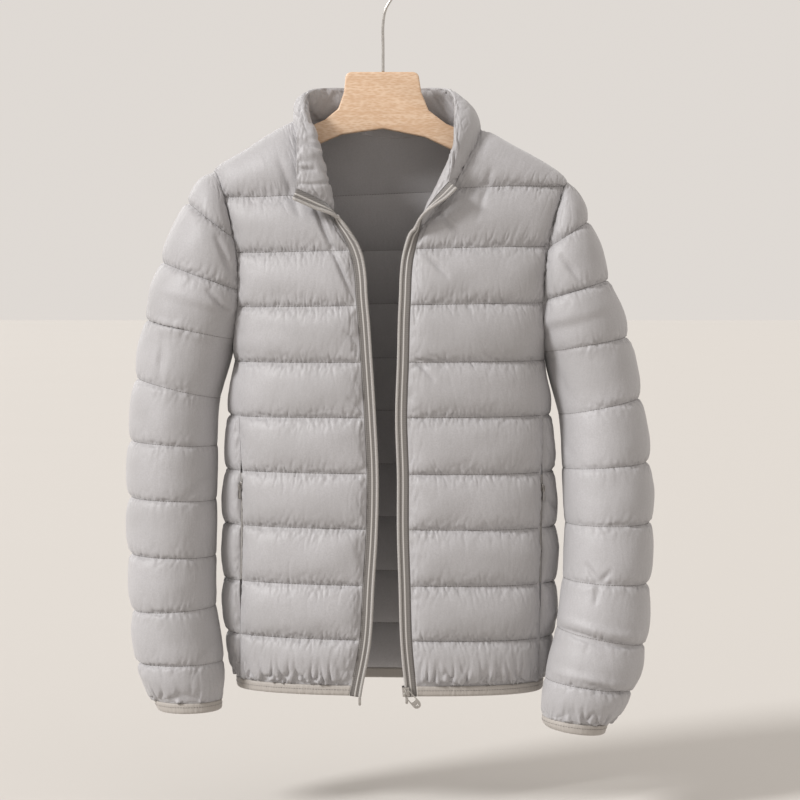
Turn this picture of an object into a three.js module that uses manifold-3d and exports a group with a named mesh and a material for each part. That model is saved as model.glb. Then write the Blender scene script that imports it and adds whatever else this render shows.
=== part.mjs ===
// Light quilted puffer jacket, worn open, on a flat wooden hanger.
// Millimetres. X to the wearer's left, Y to the back, Z up. The origin is the inside
// top of the hanger's hook. "Right" and "left" are the wearer's.
import * as THREE from 'three';
import Module from 'manifold-3d';

// Sizes that drive the shape
const seamGap = 0.3; // open at every seam
const wall = 2; // two fabrics and pressed down, at a stitch line
const bodyLoft = 8; // rise of a baffle over its stitch lines
const sleeveLoft = 7.5;
const collarLoft = 4; // each face of the collar
const edgeRun = 24; // a baffle falls to its seam over this length
const sideRun = 42; // the same at the side seam, where sleeve and body press together
const bodyCentre = 8; // middle of the body in X
const bodyPower = 1.25; // squareness of the body's rings
const tapeWide = 14;
const pocketSlot = 1.8; // half of the slot that the pocket zip lies in

// Stitch lines of the body, shoulder to hem. z on each side, half width, depths.
const body = readTable(
  ['row', 'zRight', 'zLeft', 'half', 'front', 'back'],
  [
    [0, -215, -200, 233, 48, 46],
    [1, -281, -268, 218, 56, 54],
    [2, -347, -340, 206, 72, 64],
    [3, -411.6, -407, 197, 84, 71],
    [4, -477, -476, 187.5, 88, 74],
    [5, -542, -541.5, 193, 88, 74],
    [6, -607, -609.5, 197, 87, 73],
    [7, -672, -676, 200, 86, 72],
    [8, -739, -743, 200, 85, 71],
    [9, -804, -809, 197, 83, 69],
    [10, -860, -863, 187, 77, 63],
    [11, -872.5, -875.5, 185, 75.5, 61.5],
  ],
);

// X of the front edges: the neckline first, then the zip.
const edges = readTable(
  ['row', 'right', 'left'],
  [
    [0, -107, 116],
    [0.5, -100, 110],
    [0.8, -86, 94],
    [1, -77, 81],
    [1.36, -62, 63],
    [1.6, -53, 48],
    [2, -40, 39],
    [3, -31, 33],
    [4, -26, 31],
    [5, -22, 29],
    [6, -19, 31],
    [7, -20, 31],
    [8, -24, 33],
    [9, -28, 35],
    [10, -38, 40],
    [11, -40, 41],
  ],
);
const neckRow = { right: 1.36, left: 1.6 }; // where the neckline meets the zip

// Top of the shoulders by X
const shoulder = readTable(
  ['x', 'z'],
  [
    [-240, -272],
    [-205, -250],
    [-166, -226],
    [-118, -196],
    [-107, -190],
    [5, -194],
    [116, -200],
    [146, -215.5],
    [185, -238],
    [222, -262],
    [250, -281],
  ],
);

// Ring angle of the armhole, measured from the side seam
const armholes = {
  right: readTable(
    ['row', 'angle'],
    [
      [0, 0.465],
      [1, 0.475],
      [2, 0.531],
      [3, 0.438],
      [3.4, 0.32],
      [3.65, 0.175],
      [3.79, 0],
    ],
  ),
  left: readTable(
    ['row', 'angle'],
    [
      [0, 0.453],
      [1, 0.33],
      [2, 0.448],
      [3, 0.4],
      [3.5, 0.31],
      [3.82, 0.17],
      [3.98, 0],
    ],
  ),
};
const armpitRow = { right: 3.79, left: 3.98 };

// X of the pocket seams, fifth stitch line to hem
const pockets = readTable(
  ['row', 'right', 'left'],
  [
    [5, -172, 191],
    [6, -169, 190],
    [7, -168.5, 189],
    [8, -170, 188.5],
    [10, -173, 187],
  ],
);
const pocketTop = 5;

// Sleeves: outer and inner end of each stitch line, half depth, middle in Y.
// Above the armpit the inner end is the armhole.
const sleeveNames = ['row', 'outX', 'outZ', 'inX', 'inZ', 'deep', 'mid'];
const sleeves = {
  right: readTable(sleeveNames, [
    [0, -206, -251, -205, -250, 18, 0],
    [1, -234, -287, -174, -329, 50, -2],
    [2, -265, -358.5, -173, -391.6, 60, -2],
    [3, -284, -428, -179, -452.8, 65, -1],
    [3.18, -286.5, -441, -181, -463.6, 65, 0],
    [4, -296, -498, -197, -522, 61, -6],
    [5, -303, -572.6, -200.5, -578.6, 59, -13],
    [6, -304, -640, -201.5, -643.6, 57, -19],
    [7, -303, -708.4, -202, -710.8, 54, -23],
    [8, -299.5, -776.6, -202, -771, 51, -27],
    [9, -293, -839, -193, -836.8, 48, -31],
    [10, -276, -884, -194.5, -883.5, 38, -34],
    [11, -270, -897, -195, -895.5, 36, -35],
  ]),
  left: readTable(sleeveNames, [
    [0, 223, -263, 222, -262, 16, 0],
    [1, 246, -310, 199, -340, 46, -2],
    [2, 270, -380, 195.6, -403.6, 58, -2],
    [3, 293.5, -448.5, 196.5, -468, 64, -1],
    [3.18, 297, -462, 196, -474.5, 64, 0],
    [4, 308, -522, 212, -541, 60, -10],
    [5, 317.5, -598, 216, -605, 58, -22],
    [6, 320, -670, 219, -670, 56, -34],
    [7, 315.5, -741.5, 216, -735, 54, -46],
    [8, 310.5, -813.5, 208, -793, 51, -56],
    [9, 295, -867.5, 194, -853, 47, -63],
    [10, 269, -907.5, 190, -897.5, 38, -66],
    [11, 264, -919.5, 194.5, -910.5, 36, -67],
  ]),
};
const sleeveArmpit = 3.18;

// Where the armhole of the body lies on the sleeve
const armMap = {
  right: readTable(
    ['row', 'sleeve'],
    [
      [0, 0],
      [0.5, 0.2],
      [1.73, 1],
      [2.69, 2],
      [3.6, 3],
      [3.79, 3.18],
    ],
  ),
  left: readTable(
    ['row', 'sleeve'],
    [
      [0, 0],
      [0.9, 0.25],
      [2, 1],
      [2.95, 2],
      [3.85, 3],
      [3.98, 3.18],
    ],
  ),
};

// Collar: points of its top edge and the way it leaves the neck seam,
// right front end round the back to the left front end
const collarTop = readTable(
  ['at', 'x', 'y', 'z', 'rollX', 'rollY', 'rollZ'],
  [
    [0, -101, -80, -272, 8, -15, 9],
    [1, -101, -76, -240, 8, -15, 22],
    [2, -100, -58, -197, 5, -10, 28],
    [3, -90, -14, -157, 5, -2, 28],
    [4, -62, 24, -147, 1, 5, 30],
    [5, 5, 34, -150, 0, 5, 30],
    [6, 62, 24, -147, -1, 5, 30],
    [7, 84, -14, -158, -5, -2, 28],
    [8, 84, -56, -200, -5, -11, 26],
    [9, 83, -70, -236, -5, -15, 20],
    [10, 78, -79, -264, -6, -16, 9],
  ],
);

const fineSteps = [0, 0.18, 0.5, 0.82];
const plainSteps = [0, 0.5];
const ridgeStep = 0.18; // the shoulder ridge is rounder than the rest

// A table of numbers, read at any place along its first column by a smooth curve
function readTable(names, rows) {
  const keys = rows.map((row) => row[0]);
  return (name, at) => {
    const column = names.indexOf(name);
    const values = rows.map((row) => row[column]);
    const last = keys.length - 1;
    let i = 0;
    while (i < last - 1 && at > keys[i + 1]) {
      i += 1;
    }
    const step = (k) => (values[k + 1] - values[k]) / (keys[k + 1] - keys[k]);
    const slope = (k) => {
      if (k === 0) {
        return step(0);
      }
      if (k === last) {
        return step(last - 1);
      }
      const before = keys[k] - keys[k - 1];
      const after = keys[k + 1] - keys[k];
      return (step(k - 1) * after + step(k) * before) / (before + after);
    };
    const span = keys[i + 1] - keys[i];
    const t = Math.min(1, Math.max(0, (at - keys[i]) / span));
    const t2 = t * t;
    const t3 = t2 * t;
    return (
      values[i] * (2 * t3 - 3 * t2 + 1) +
      slope(i) * span * (t3 - 2 * t2 + t) +
      values[i + 1] * (3 * t2 - 2 * t3) +
      slope(i + 1) * span * (t3 - t2)
    );
  };
}

const vec = (x, y, z) => new THREE.Vector3(x, y, z);
const signed = (value, power) => Math.sign(value) * Math.abs(value) ** power;
const mix = (a, b, t) => a + (b - a) * t;
const limit = (value, low, high) => Math.min(high, Math.max(low, value));

// The body's surface. Angle 0 is the wearer's left side, a quarter turn is the back.
function bodyPoint(angle, row) {
  const half = body('half', row);
  const x = bodyCentre + half * signed(Math.cos(angle), 1 / bodyPower);
  const across = limit((x + 150) / 300, 0, 1);
  const level = (at) => mix(body('zRight', at), body('zLeft', at), across);
  const name = Math.sin(angle) > 0 ? 'back' : 'front';
  const out = signed(Math.sin(angle), 1 / bodyPower);
  if (row >= 1) {
    return vec(x, body(name, row) * out, level(row));
  }
  const turn = ((1 - row) * Math.PI) / 2;
  const rise = shoulder('z', x) - level(1);
  return vec(x, body(name, 1) * out * Math.cos(turn), level(1) + rise * Math.sin(turn));
}

function bodyNormal(angle, row) {
  const da = 0.02;
  const dr = 0.01;
  const around = bodyPoint(angle + da, row).sub(bodyPoint(angle - da, row));
  const top = Math.max(0, row - dr);
  const down = bodyPoint(angle, row + dr).sub(bodyPoint(angle, top));
  return down.cross(around).normalize();
}

const sideSign = (side) => (side === 'left' ? 1 : -1);

// A ring angle measured from the side seam, turned into a body angle
function frontAngle(side, angle) {
  return side === 'left' ? -angle : angle - Math.PI;
}

function backAngle(side, angle) {
  return side === 'left' ? angle : Math.PI - angle;
}

function angleAtX(side, x, row) {
  const share = (sideSign(side) * (x - bodyCentre)) / body('half', row);
  return Math.acos(limit(share, 0, 1) ** bodyPower);
}

const armAngle = (side, row) =>
  row < armpitRow[side] ? armholes[side]('angle', row) : 0;

// A ring of the sleeve. Turn 0 is the front of the armhole, 1 the back of it.
function sleevePoint(side, turn, row) {
  const read = (name) => sleeves[side](name, row);
  const out = vec(read('outX'), 0, read('outZ'));
  let inner = vec(read('inX'), 0, read('inZ'));
  let half = 0;
  let mid = read('mid');
  if (row < sleeveArmpit) {
    const at = bodyRowAtSleeve(side, row);
    const front = bodyPoint(frontAngle(side, armAngle(side, at)), at);
    const back = bodyPoint(backAngle(side, armAngle(side, at)), at);
    inner = vec(front.x, 0, front.z);
    half = (back.y - front.y) / 2;
    mid = (back.y + front.y) / 2;
  }
  const deep = Math.max(read('deep'), half * 1.04);
  const length = out.distanceTo(inner);
  const reach = Math.sqrt(Math.max(0, 1 - (half / deep) ** 2));
  const wide = length / (1 + reach);
  const start = Math.acos(limit(reach, 0, 1)) * (half > 0 ? 1 : 0);
  const angle = mix(start, 2 * Math.PI - start, turn);
  const axis = out.clone().sub(inner).normalize();
  const point = out.clone().addScaledVector(axis, -wide - wide * Math.cos(angle));
  point.y = mid - deep * Math.sin(angle);
  return point;
}

function bodyRowAtSleeve(side, row) {
  let low = 0;
  let high = armpitRow[side];
  for (let i = 0; i < 30; i += 1) {
    const middle = (low + high) / 2;
    if (armMap[side]('sleeve', middle) < row) {
      low = middle;
    } else {
      high = middle;
    }
  }
  return (low + high) / 2;
}

function sleeveNormal(side, turn, row) {
  const dt = 0.004;
  const dr = 0.02;
  const inTurn = row < sleeveArmpit ? limit(turn, dt, 1 - dt) : turn;
  const around = sleevePoint(side, inTurn + dt, row).sub(
    sleevePoint(side, inTurn - dt, row),
  );
  const top = Math.max(0.02, row - dr);
  const down = sleevePoint(side, turn, row + dr).sub(sleevePoint(side, turn, top));
  return around.cross(down).multiplyScalar(-sideSign(side)).normalize();
}

// Cross-section of a baffle between its two stitch lines
function baffle(row) {
  const s = row - Math.floor(row + 1e-9);
  return s < 1e-6 ? 0 : Math.sqrt(4 * s * (1 - s));
}

function edgeFall(distance, run = edgeRun) {
  const s = limit(distance / run, 0, 1);
  return Math.sqrt(1 - (1 - s) ** 2);
}

// Body and sleeve press flat against each other round the armpit
function armpitFall(side, point) {
  const row = armpitRow[side];
  const distance = point.distanceTo(bodyPoint(frontAngle(side, 0), row));
  return limit((distance - 6) / 40, 0, 1);
}

const towards = (from, to, length) =>
  from.clone().addScaledVector(to.clone().sub(from).normalize(), length);

// Rows of a panel from one place to another
function rowList(steps, from, to) {
  const rows = [from];
  for (let row = Math.floor(from); row <= to; row += 1) {
    for (const step of steps) {
      if (row + step > from + 0.05 && row + step < to - 0.05) {
        rows.push(row + step);
      }
    }
  }
  rows.push(to);
  if (steps === plainSteps && from < 0.1) {
    rows.splice(1, 0, ridgeStep);
  }
  return rows;
}

// A closed wall built from strips between neighbouring lines of points
class Wall {
  constructor() {
    this.points = [];
    this.faces = [];
  }

  line(points, places) {
    const ids = points.map((point) => this.points.push(point) - 1);
    return { ids, places };
  }

  strip(a, b) {
    const low = Math.max(a.places[0], b.places[0]) - 1e-6;
    const high = Math.min(a.places.at(-1), b.places.at(-1)) + 1e-6;
    const cut = (line) => {
      const keep = line.places.map((place) => place > low && place < high);
      return {
        ids: line.ids.filter((_, i) => keep[i]),
        places: line.places.filter((_, i) => keep[i]),
      };
    };
    this.join(cut(a), cut(b));
  }

  join(a, b) {
    let i = 0;
    let j = 0;
    while (i < a.ids.length - 1 || j < b.ids.length - 1) {
      const nextA = i < a.ids.length - 1 ? a.places[i + 1] : Infinity;
      const nextB = j < b.ids.length - 1 ? b.places[j + 1] : Infinity;
      if (nextA <= nextB) {
        this.faces.push([a.ids[i], b.ids[j], a.ids[i + 1]]);
        i += 1;
      } else {
        this.faces.push([b.ids[j], b.ids[j + 1], a.ids[i]]);
        j += 1;
      }
    }
  }

  geometry() {
    const used = this.faces.filter(
      ([a, b, c]) =>
        this.points[a].distanceTo(this.points[b]) > 1e-4 &&
        this.points[b].distanceTo(this.points[c]) > 1e-4 &&
        this.points[a].distanceTo(this.points[c]) > 1e-4,
    );
    let volume = 0;
    for (const [a, b, c] of used) {
      const normal = this.points[b].clone().cross(this.points[c]);
      volume += this.points[a].dot(normal);
    }
    const order = volume > 0 ? [0, 1, 2] : [0, 2, 1];
    const values = this.points.flatMap((point) => [point.x, point.y, point.z]);
    const geometry = new THREE.BufferGeometry();
    geometry.setAttribute('position', new THREE.Float32BufferAttribute(values, 3));
    geometry.setIndex(used.flatMap((face) => order.map((k) => face[k])));
    geometry.computeVertexNormals();
    return geometry;
  }
}

// Picks the part of a line between two places
function between(line, low, high) {
  const keep = line.places.map((at) => at > low - 1e-6 && at < high + 1e-6);
  return {
    ids: line.ids.filter((_, i) => keep[i]),
    places: line.places.filter((_, i) => keep[i]),
  };
}

// A line through the first or last points of several lines
function acrossLine(lines, pick) {
  return {
    ids: lines.map((line) => line.ids[pick(line)]),
    places: lines.map((_, i) => i),
  };
}

const firstOf = () => 0;
const lastOf = (line) => line.ids.length - 1;
const atPlace = (place) => (line) =>
  line.places.findIndex((at) => Math.abs(at - place) < 1e-6);

// Rows at which the armhole has its points, shared by body and sleeve
const armholeRows = {
  right: [0, 0.3, 0.6, 0.9, 1.2, 1.5, 1.85, 2.2, 2.55, 2.9, 3.2, 3.45, 3.65, 3.79],
  left: [0, 0.4, 0.8, 1.1, 1.4, 1.7, 2.05, 2.4, 2.75, 3.1, 3.4, 3.65, 3.84, 3.98],
};

const armholePlace = (side, row, onFront) => {
  const angle = armAngle(side, row);
  return onFront ? frontAngle(side, angle) : backAngle(side, angle);
};

// The seam leaves body and sleeve along one shared normal
function armholeNormal(side, row, onFront) {
  const onSleeve = armMap[side]('sleeve', row);
  const place = Math.max(0.05, onSleeve);
  const sleeve = sleeveNormal(side, onFront ? 0.004 : 0.996, place);
  return bodyNormal(armholePlace(side, row, onFront), row).add(sleeve).normalize();
}

const frontShares = [0, 0.045, 0.15, 0.32, 0.5, 0.68, 0.84, 0.945, 1];
const sideShares = [0, 0.3, 0.65, 1];
const frontLast = frontShares.length - 1;

// Ring angle of a column of the front and the side panel
function frontColumn(side, column, row) {
  const edge = angleAtX(side, edges(side, row), row);
  const end = armAngle(side, row);
  const at = Math.max(row, pocketTop);
  let pocket = angleAtX(side, pockets(side, at), at);
  if (row < pocketTop) {
    const topEdge = angleAtX(side, edges(side, pocketTop), pocketTop);
    const share = (topEdge - pocket) / topEdge;
    pocket = mix(edge, end, share);
  }
  if (column <= frontLast) {
    return mix(edge, pocket, frontShares[column]);
  }
  return mix(pocket, end, sideShares[column - frontLast]);
}

// Half of the gap at the pocket seam
function pocketGap(row) {
  const open = limit((row - 5.82) / 0.18, 0, 1) * limit((8.5 - row) / 0.32, 0, 1);
  return mix(seamGap * 0.8, pocketSlot, open);
}

function frontHeight(side, column, row) {
  const ring = (angle) => bodyPoint(frontAngle(side, angle), row);
  const here = ring(frontColumn(side, column, row));
  let fall = edgeFall(here.distanceTo(ring(frontColumn(side, 0, row))));
  const last = frontLast + sideShares.length - 1;
  const run = row > armpitRow[side] - 0.4 ? sideRun : edgeRun;
  fall *= edgeFall(here.distanceTo(ring(frontColumn(side, last, row))), run);
  if (row >= pocketTop) {
    fall *= edgeFall(here.distanceTo(ring(frontColumn(side, frontLast, row))));
  }
  fall *= armpitFall(side, here) * shortBaffle(side, column, row);
  return bodyLoft * baffle(row) * fall * gather(row, column);
}

function shortBaffle(side, column, row) {
  const top = Math.floor(row);
  const angle = frontAngle(side, frontColumn(side, column, row));
  const tall = bodyPoint(angle, top).distanceTo(bodyPoint(angle, top + 1));
  return limit(tall / 50, 0, 1);
}

// Cloth gathers above the hem
function gather(row, column) {
  return row > 9.6 && row < 10 ? 1 + 0.3 * (column % 2 === 0 ? 1 : -1) : 1;
}

// One column of a front or side panel, outside or inside
function frontLine(wallOf, side, column, rows, inside, pulls) {
  const points = rows.map((row) => {
    const angle = frontAngle(side, frontColumn(side, column, row));
    const point = bodyPoint(angle, row);
    const last = frontLast + sideShares.length - 1;
    const onArmhole = column === last && row <= armpitRow[side] + 1e-6;
    const normal = onArmhole ? armholeNormal(side, row, true) : bodyNormal(angle, row);
    const height = onArmhole ? 0 : frontHeight(side, column, row);
    for (const pull of pulls) {
      if (pull.when(row)) {
        const to = pull.to(row);
        const target = bodyPoint(frontAngle(side, frontColumn(side, to[0], to[1])), to[1]);
        point.copy(towards(point, target, pull.length(row)));
      }
    }
    return point.addScaledVector(normal, inside ? -wall : height);
  });
  return wallOf.line(points, rows);
}

const halfGap = () => seamGap / 2;

function columnRows(side, column, from, to, steps) {
  const last = frontLast + sideShares.length - 1;
  if (column < last || from > 0) {
    return rowList(steps, from, to);
  }
  const low = armpitRow[side];
  const below = rowList(steps, Math.ceil(low), to);
  return [...armholeRows[side], ...below];
}

// Front panel: full width down to the fifth stitch line, then to the pocket seam
function frontPanel(side) {
  const cloth = new Wall();
  const last = frontLast + sideShares.length - 1;
  const surface = (inside) => {
    const lines = [];
    for (let column = 0; column <= last; column += 1) {
      const to = column <= frontLast ? 10 : pocketTop;
      const steps = inside ? plainSteps : fineSteps;
      const rows = columnRows(side, column, 0, to, steps);
      const inner = column === last ? last - 1 : column + 1;
      const pulls = [
        { when: (row) => row === 0, to: () => [column, 0.1], length: halfGap },
        { when: (row) => row === 10, to: () => [column, 9.9], length: halfGap },
        {
          when: (row) => column >= frontLast && row === pocketTop,
          to: () => [column, pocketTop - 0.1],
          length: halfGap,
        },
        {
          when: (row) => column === last && row >= armpitRow[side] - 1e-6,
          to: (row) => [inner, row],
          length: halfGap,
        },
        {
          when: (row) => column === frontLast && row >= pocketTop,
          to: (row) => [column - 1, row],
          length: pocketGap,
        },
      ];
      lines.push(frontLine(cloth, side, column, rows, inside, pulls));
    }
    return lines;
  };
  const outer = surface(false);
  const inner = surface(true);
  for (let i = 0; i < last; i += 1) {
    cloth.strip(outer[i], outer[i + 1]);
    cloth.strip(inner[i + 1], inner[i]);
  }
  cloth.join(inner[0], outer[0]);
  cloth.join(outer[last], inner[last]);
  cloth.join(acrossLine(outer, firstOf), acrossLine(inner, firstOf));
  const main = [outer.slice(0, frontLast + 1), inner.slice(0, frontLast + 1)];
  cloth.join(acrossLine(main[1], lastOf), acrossLine(main[0], lastOf));
  const step = [outer.slice(frontLast), inner.slice(frontLast)];
  const cut = atPlace(pocketTop);
  cloth.join(acrossLine(step[1], cut), acrossLine(step[0], cut));
  cloth.join(
    between(outer[frontLast], pocketTop, 10),
    between(inner[frontLast], pocketTop, 10),
  );
  return cloth.geometry();
}

// Side strip of the front, pocket seam to side seam
function sidePanel(side) {
  const cloth = new Wall();
  const last = sideShares.length - 1;
  const surface = (inside) => {
    const lines = [];
    for (let i = 0; i <= last; i += 1) {
      const column = frontLast + i;
      const rows = rowList(inside ? plainSteps : fineSteps, pocketTop, 10);
      const pulls = [
        { when: (row) => row === 10, to: () => [column, 9.9], length: halfGap },
        {
          when: (row) => row === pocketTop,
          to: () => [column, pocketTop + 0.1],
          length: halfGap,
        },
        { when: () => i === 0, to: (row) => [column + 1, row], length: pocketGap },
        { when: () => i === last, to: (row) => [column - 1, row], length: halfGap },
      ];
      lines.push(frontLine(cloth, side, column, rows, inside, pulls));
    }
    return lines;
  };
  const outer = surface(false);
  const inner = surface(true);
  for (let i = 0; i < last; i += 1) {
    cloth.strip(outer[i], outer[i + 1]);
    cloth.strip(inner[i + 1], inner[i]);
  }
  cloth.join(inner[0], outer[0]);
  cloth.join(outer[last], inner[last]);
  cloth.join(acrossLine(outer, firstOf), acrossLine(inner, firstOf));
  cloth.join(acrossLine(inner, lastOf), acrossLine(outer, lastOf));
  return cloth.geometry();
}

// Shares of the way round the back, right side seam to left side seam
const backNeck = ['right', 'left'].map((side) => {
  const from = Math.PI - armAngle('right', 0);
  const to = armAngle('left', 0);
  const angle = backAngle(side, angleAtX(side, edges(side, 0), 0));
  return (from - angle) / (from - to);
});
const backShares = [
  0,
  0.03,
  0.1,
  0.19,
  backNeck[0],
  mix(backNeck[0], backNeck[1], 0.2),
  mix(backNeck[0], backNeck[1], 0.4),
  mix(backNeck[0], backNeck[1], 0.6),
  mix(backNeck[0], backNeck[1], 0.8),
  backNeck[1],
  0.81,
  0.9,
  0.97,
  1,
];

// How far the back neckline lies below the shoulder seam, in rows
function backTop(share) {
  const s = (share - backNeck[0]) / (backNeck[1] - backNeck[0]);
  return s > 0 && s < 1 ? 0.36 * Math.sqrt(4 * s * (1 - s)) : 0;
}

function backPlace(share, row) {
  const from = Math.PI - armAngle('right', row);
  return mix(from, armAngle('left', row), share);
}

function backHeight(share, row, column) {
  const here = bodyPoint(backPlace(share, row), row);
  const ends = [0, 1].map((end) => bodyPoint(backPlace(end, row), row));
  const run = row > armpitRow.right - 0.4 ? sideRun : edgeRun;
  const fall =
    edgeFall(here.distanceTo(ends[0]), run) *
    edgeFall(here.distanceTo(ends[1]), run) *
    armpitFall('right', here) *
    armpitFall('left', here);
  const top = Math.floor(row);
  const start = Math.max(top, backTop(share));
  const angle = backPlace(share, row);
  const tall = bodyPoint(angle, start).distanceTo(bodyPoint(angle, top + 1));
  const place = top === 0 ? (row - start) / (1 - start) : row;
  const short = limit(tall / 50, 0, 1);
  return bodyLoft * baffle(limit(place, 0, 10)) * fall * short * gather(row, column);
}

function backRows(column, steps) {
  const last = backShares.length - 1;
  if (column > 0 && column < last) {
    return rowList(steps, backTop(backShares[column]), 10);
  }
  const side = column === 0 ? 'right' : 'left';
  const below = rowList(steps, Math.ceil(armpitRow[side]), 10);
  return [...armholeRows[side], ...below];
}

function backPanel() {
  const cloth = new Wall();
  const last = backShares.length - 1;
  const surface = (inside) =>
    backShares.map((share, column) => {
      const rows = backRows(column, inside ? plainSteps : fineSteps);
      const side = column === 0 ? 'right' : 'left';
      const onEdge = column === 0 || column === last;
      const points = rows.map((row) => {
        const angle = backPlace(share, row);
        const point = bodyPoint(angle, row);
        const onArmhole = onEdge && row <= armpitRow[side] + 1e-6;
        const normal = onArmhole
          ? armholeNormal(side, row, false)
          : bodyNormal(angle, row);
        const height = onArmhole ? 0 : backHeight(share, row, column);
        const pull = (toShare, toRow) =>
          point.copy(
            towards(point, bodyPoint(backPlace(toShare, toRow), toRow), seamGap / 2),
          );
        if (row === 0) {
          pull(share, 0.1);
        }
        if (row === 10) {
          pull(share, 9.9);
        }
        if (onEdge && row >= armpitRow[side] - 1e-6) {
          pull(column === 0 ? backShares[1] : backShares[last - 1], row);
        }
        return point.addScaledVector(normal, inside ? -wall : height);
      });
      return cloth.line(points, rows);
    });
  const outer = surface(false);
  const inner = surface(true);
  // The neckline starts lower than the shoulders, so neighbours begin apart
  const join = (a, b) => cloth.join(a, b);
  for (let i = 0; i < last; i += 1) {
    join(outer[i], outer[i + 1]);
    join(inner[i + 1], inner[i]);
  }
  cloth.join(inner[0], outer[0]);
  cloth.join(outer[last], inner[last]);
  cloth.join(acrossLine(outer, firstOf), acrossLine(inner, firstOf));
  cloth.join(acrossLine(inner, lastOf), acrossLine(outer, lastOf));
  return cloth.geometry();
}

// Sleeve: columns round it, open to the armhole above the armpit
const sleeveColumns = 18;

function sleeveHeight(side, turn, row) {
  let fall = 1;
  if (row < sleeveArmpit) {
    const here = sleevePoint(side, turn, row);
    fall =
      edgeFall(here.distanceTo(sleevePoint(side, 0, row))) *
      edgeFall(here.distanceTo(sleevePoint(side, 1, row)));
    fall *= limit(row / 0.35, 0, 1);
  }
  const inward = 0.5 + 0.5 * Math.cos(2 * Math.PI * turn);
  const near = row < 5 ? 0.95 : 0.75;
  const pressed = row > 2.5 ? 1 - near * inward : 1;
  const column = Math.round(turn * sleeveColumns);
  const pucker = row > 9.6 && row < 10 ? 1 + 0.3 * (column % 2 === 0 ? 1 : -1) : 1;
  return sleeveLoft * baffle(row) * fall * pressed * pucker;
}

function sleevePanel(side) {
  const cloth = new Wall();
  const loop = [];
  const list = armholeRows[side];
  for (let i = list.length - 1; i > 0; i -= 1) {
    loop.push({ row: list[i], onFront: true });
  }
  for (let i = 0; i < list.length; i += 1) {
    loop.push({ row: list[i], onFront: false });
  }
  const surface = (inside) => {
    const steps = inside ? plainSteps : fineSteps;
    const first = inside ? 0.5 : 0.18;
    const upper = rowList(steps, first, sleeveArmpit);
    const lower = rowList(steps, sleeveArmpit, 10);
    const at = (turn, row) => {
      const point = sleevePoint(side, turn, row);
      const normal = sleeveNormal(side, turn, row);
      if (row === 10) {
        point.copy(towards(point, sleevePoint(side, turn, 9.9), seamGap / 2));
      }
      const height = inside ? -wall : sleeveHeight(side, turn, row);
      return point.addScaledVector(normal, height);
    };
    const lines = [];
    const rows = [...upper, ...lower.slice(1)];
    for (let i = 1; i < sleeveColumns; i += 1) {
      const turn = i / sleeveColumns;
      lines[i] = cloth.line(rows.map((row) => at(turn, row)), rows);
    }
    const edge = cloth.line(
      loop.map(({ row, onFront }) => {
        const point = bodyPoint(armholePlace(side, row, onFront), row);
        const place = armMap[side]('sleeve', row);
        const turn = mix(0.5, onFront ? 0.06 : 0.94, limit(place / 0.6, 0, 1));
        const target = sleevePoint(side, turn, Math.max(place, 0.35));
        const slack = 1.5 * seamGap + 0.6 * limit((place - 2.5) / 0.5, 0, 1);
        point.copy(towards(point, target, slack));
        const normal = armholeNormal(side, row, onFront);
        return point.addScaledVector(normal, inside ? -wall : 0);
      }),
      loop.map(({ row, onFront }) => armMap[side]('sleeve', row) * (onFront ? -1 : 1)),
    );
    edge.ids[edge.ids.length - 1] = edge.ids[0];
    const under = cloth.line(
      lower.slice(1).map((row) => at(0, row)),
      lower.slice(1),
    );
    const seamStart = { ids: [edge.ids[0], ...under.ids], places: lower };
    const seamEnd = { ids: [edge.ids.at(-1), ...under.ids], places: lower };
    lines[0] = seamStart;
    lines[sleeveColumns] = seamEnd;
    const rim = { ids: [], places: [] };
    const count = upper.length;
    for (let i = count - 1; i >= 0; i -= 1) {
      rim.ids.push(lines[1].ids[i]);
      rim.places.push(-upper[i]);
    }
    for (let i = 2; i < sleeveColumns; i += 1) {
      rim.ids.push(lines[i].ids[0]);
      rim.places.push(mix(-first, first, (i - 1) / (sleeveColumns - 2)));
    }
    for (let i = 1; i < count; i += 1) {
      rim.ids.push(lines[sleeveColumns - 1].ids[i]);
      rim.places.push(upper[i]);
    }
    return { lines, edge, rim };
  };
  const outer = surface(false);
  const inner = surface(true);
  for (let i = 0; i < sleeveColumns; i += 1) {
    cloth.strip(outer.lines[i], outer.lines[i + 1]);
    cloth.strip(inner.lines[i + 1], inner.lines[i]);
  }
  cloth.join(outer.rim, outer.edge);
  cloth.join(inner.edge, inner.rim);
  cloth.join(outer.edge, inner.edge);
  const round = (lines) => acrossLine(lines, lastOf);
  cloth.join(round(inner.lines), round(outer.lines));
  return cloth.geometry();
}

// A flat band between two rings
function band(outside, inside, count, closed, rows) {
  const cloth = new Wall();
  const lines = (at) => {
    const list = [];
    for (let i = 0; i <= count; i += 1) {
      if (closed && i === count) {
        list.push(list[0]);
      } else {
        list.push(cloth.line(rows.map((row) => at(i / count, row)), rows));
      }
    }
    return list;
  };
  const outer = lines(outside);
  const inner = lines(inside);
  for (let i = 0; i < count; i += 1) {
    cloth.strip(outer[i], outer[i + 1]);
    cloth.strip(inner[i + 1], inner[i]);
  }
  cloth.join(acrossLine(outer, firstOf), acrossLine(inner, firstOf));
  cloth.join(acrossLine(inner, lastOf), acrossLine(outer, lastOf));
  if (!closed) {
    cloth.join(inner[0], outer[0]);
    cloth.join(outer[count], inner[count]);
  }
  return cloth.geometry();
}

const bandBulge = 0.8;

function bandPlace(row) {
  return 1 - Math.abs(2 * (row - 10.5)) ** 2;
}

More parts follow.
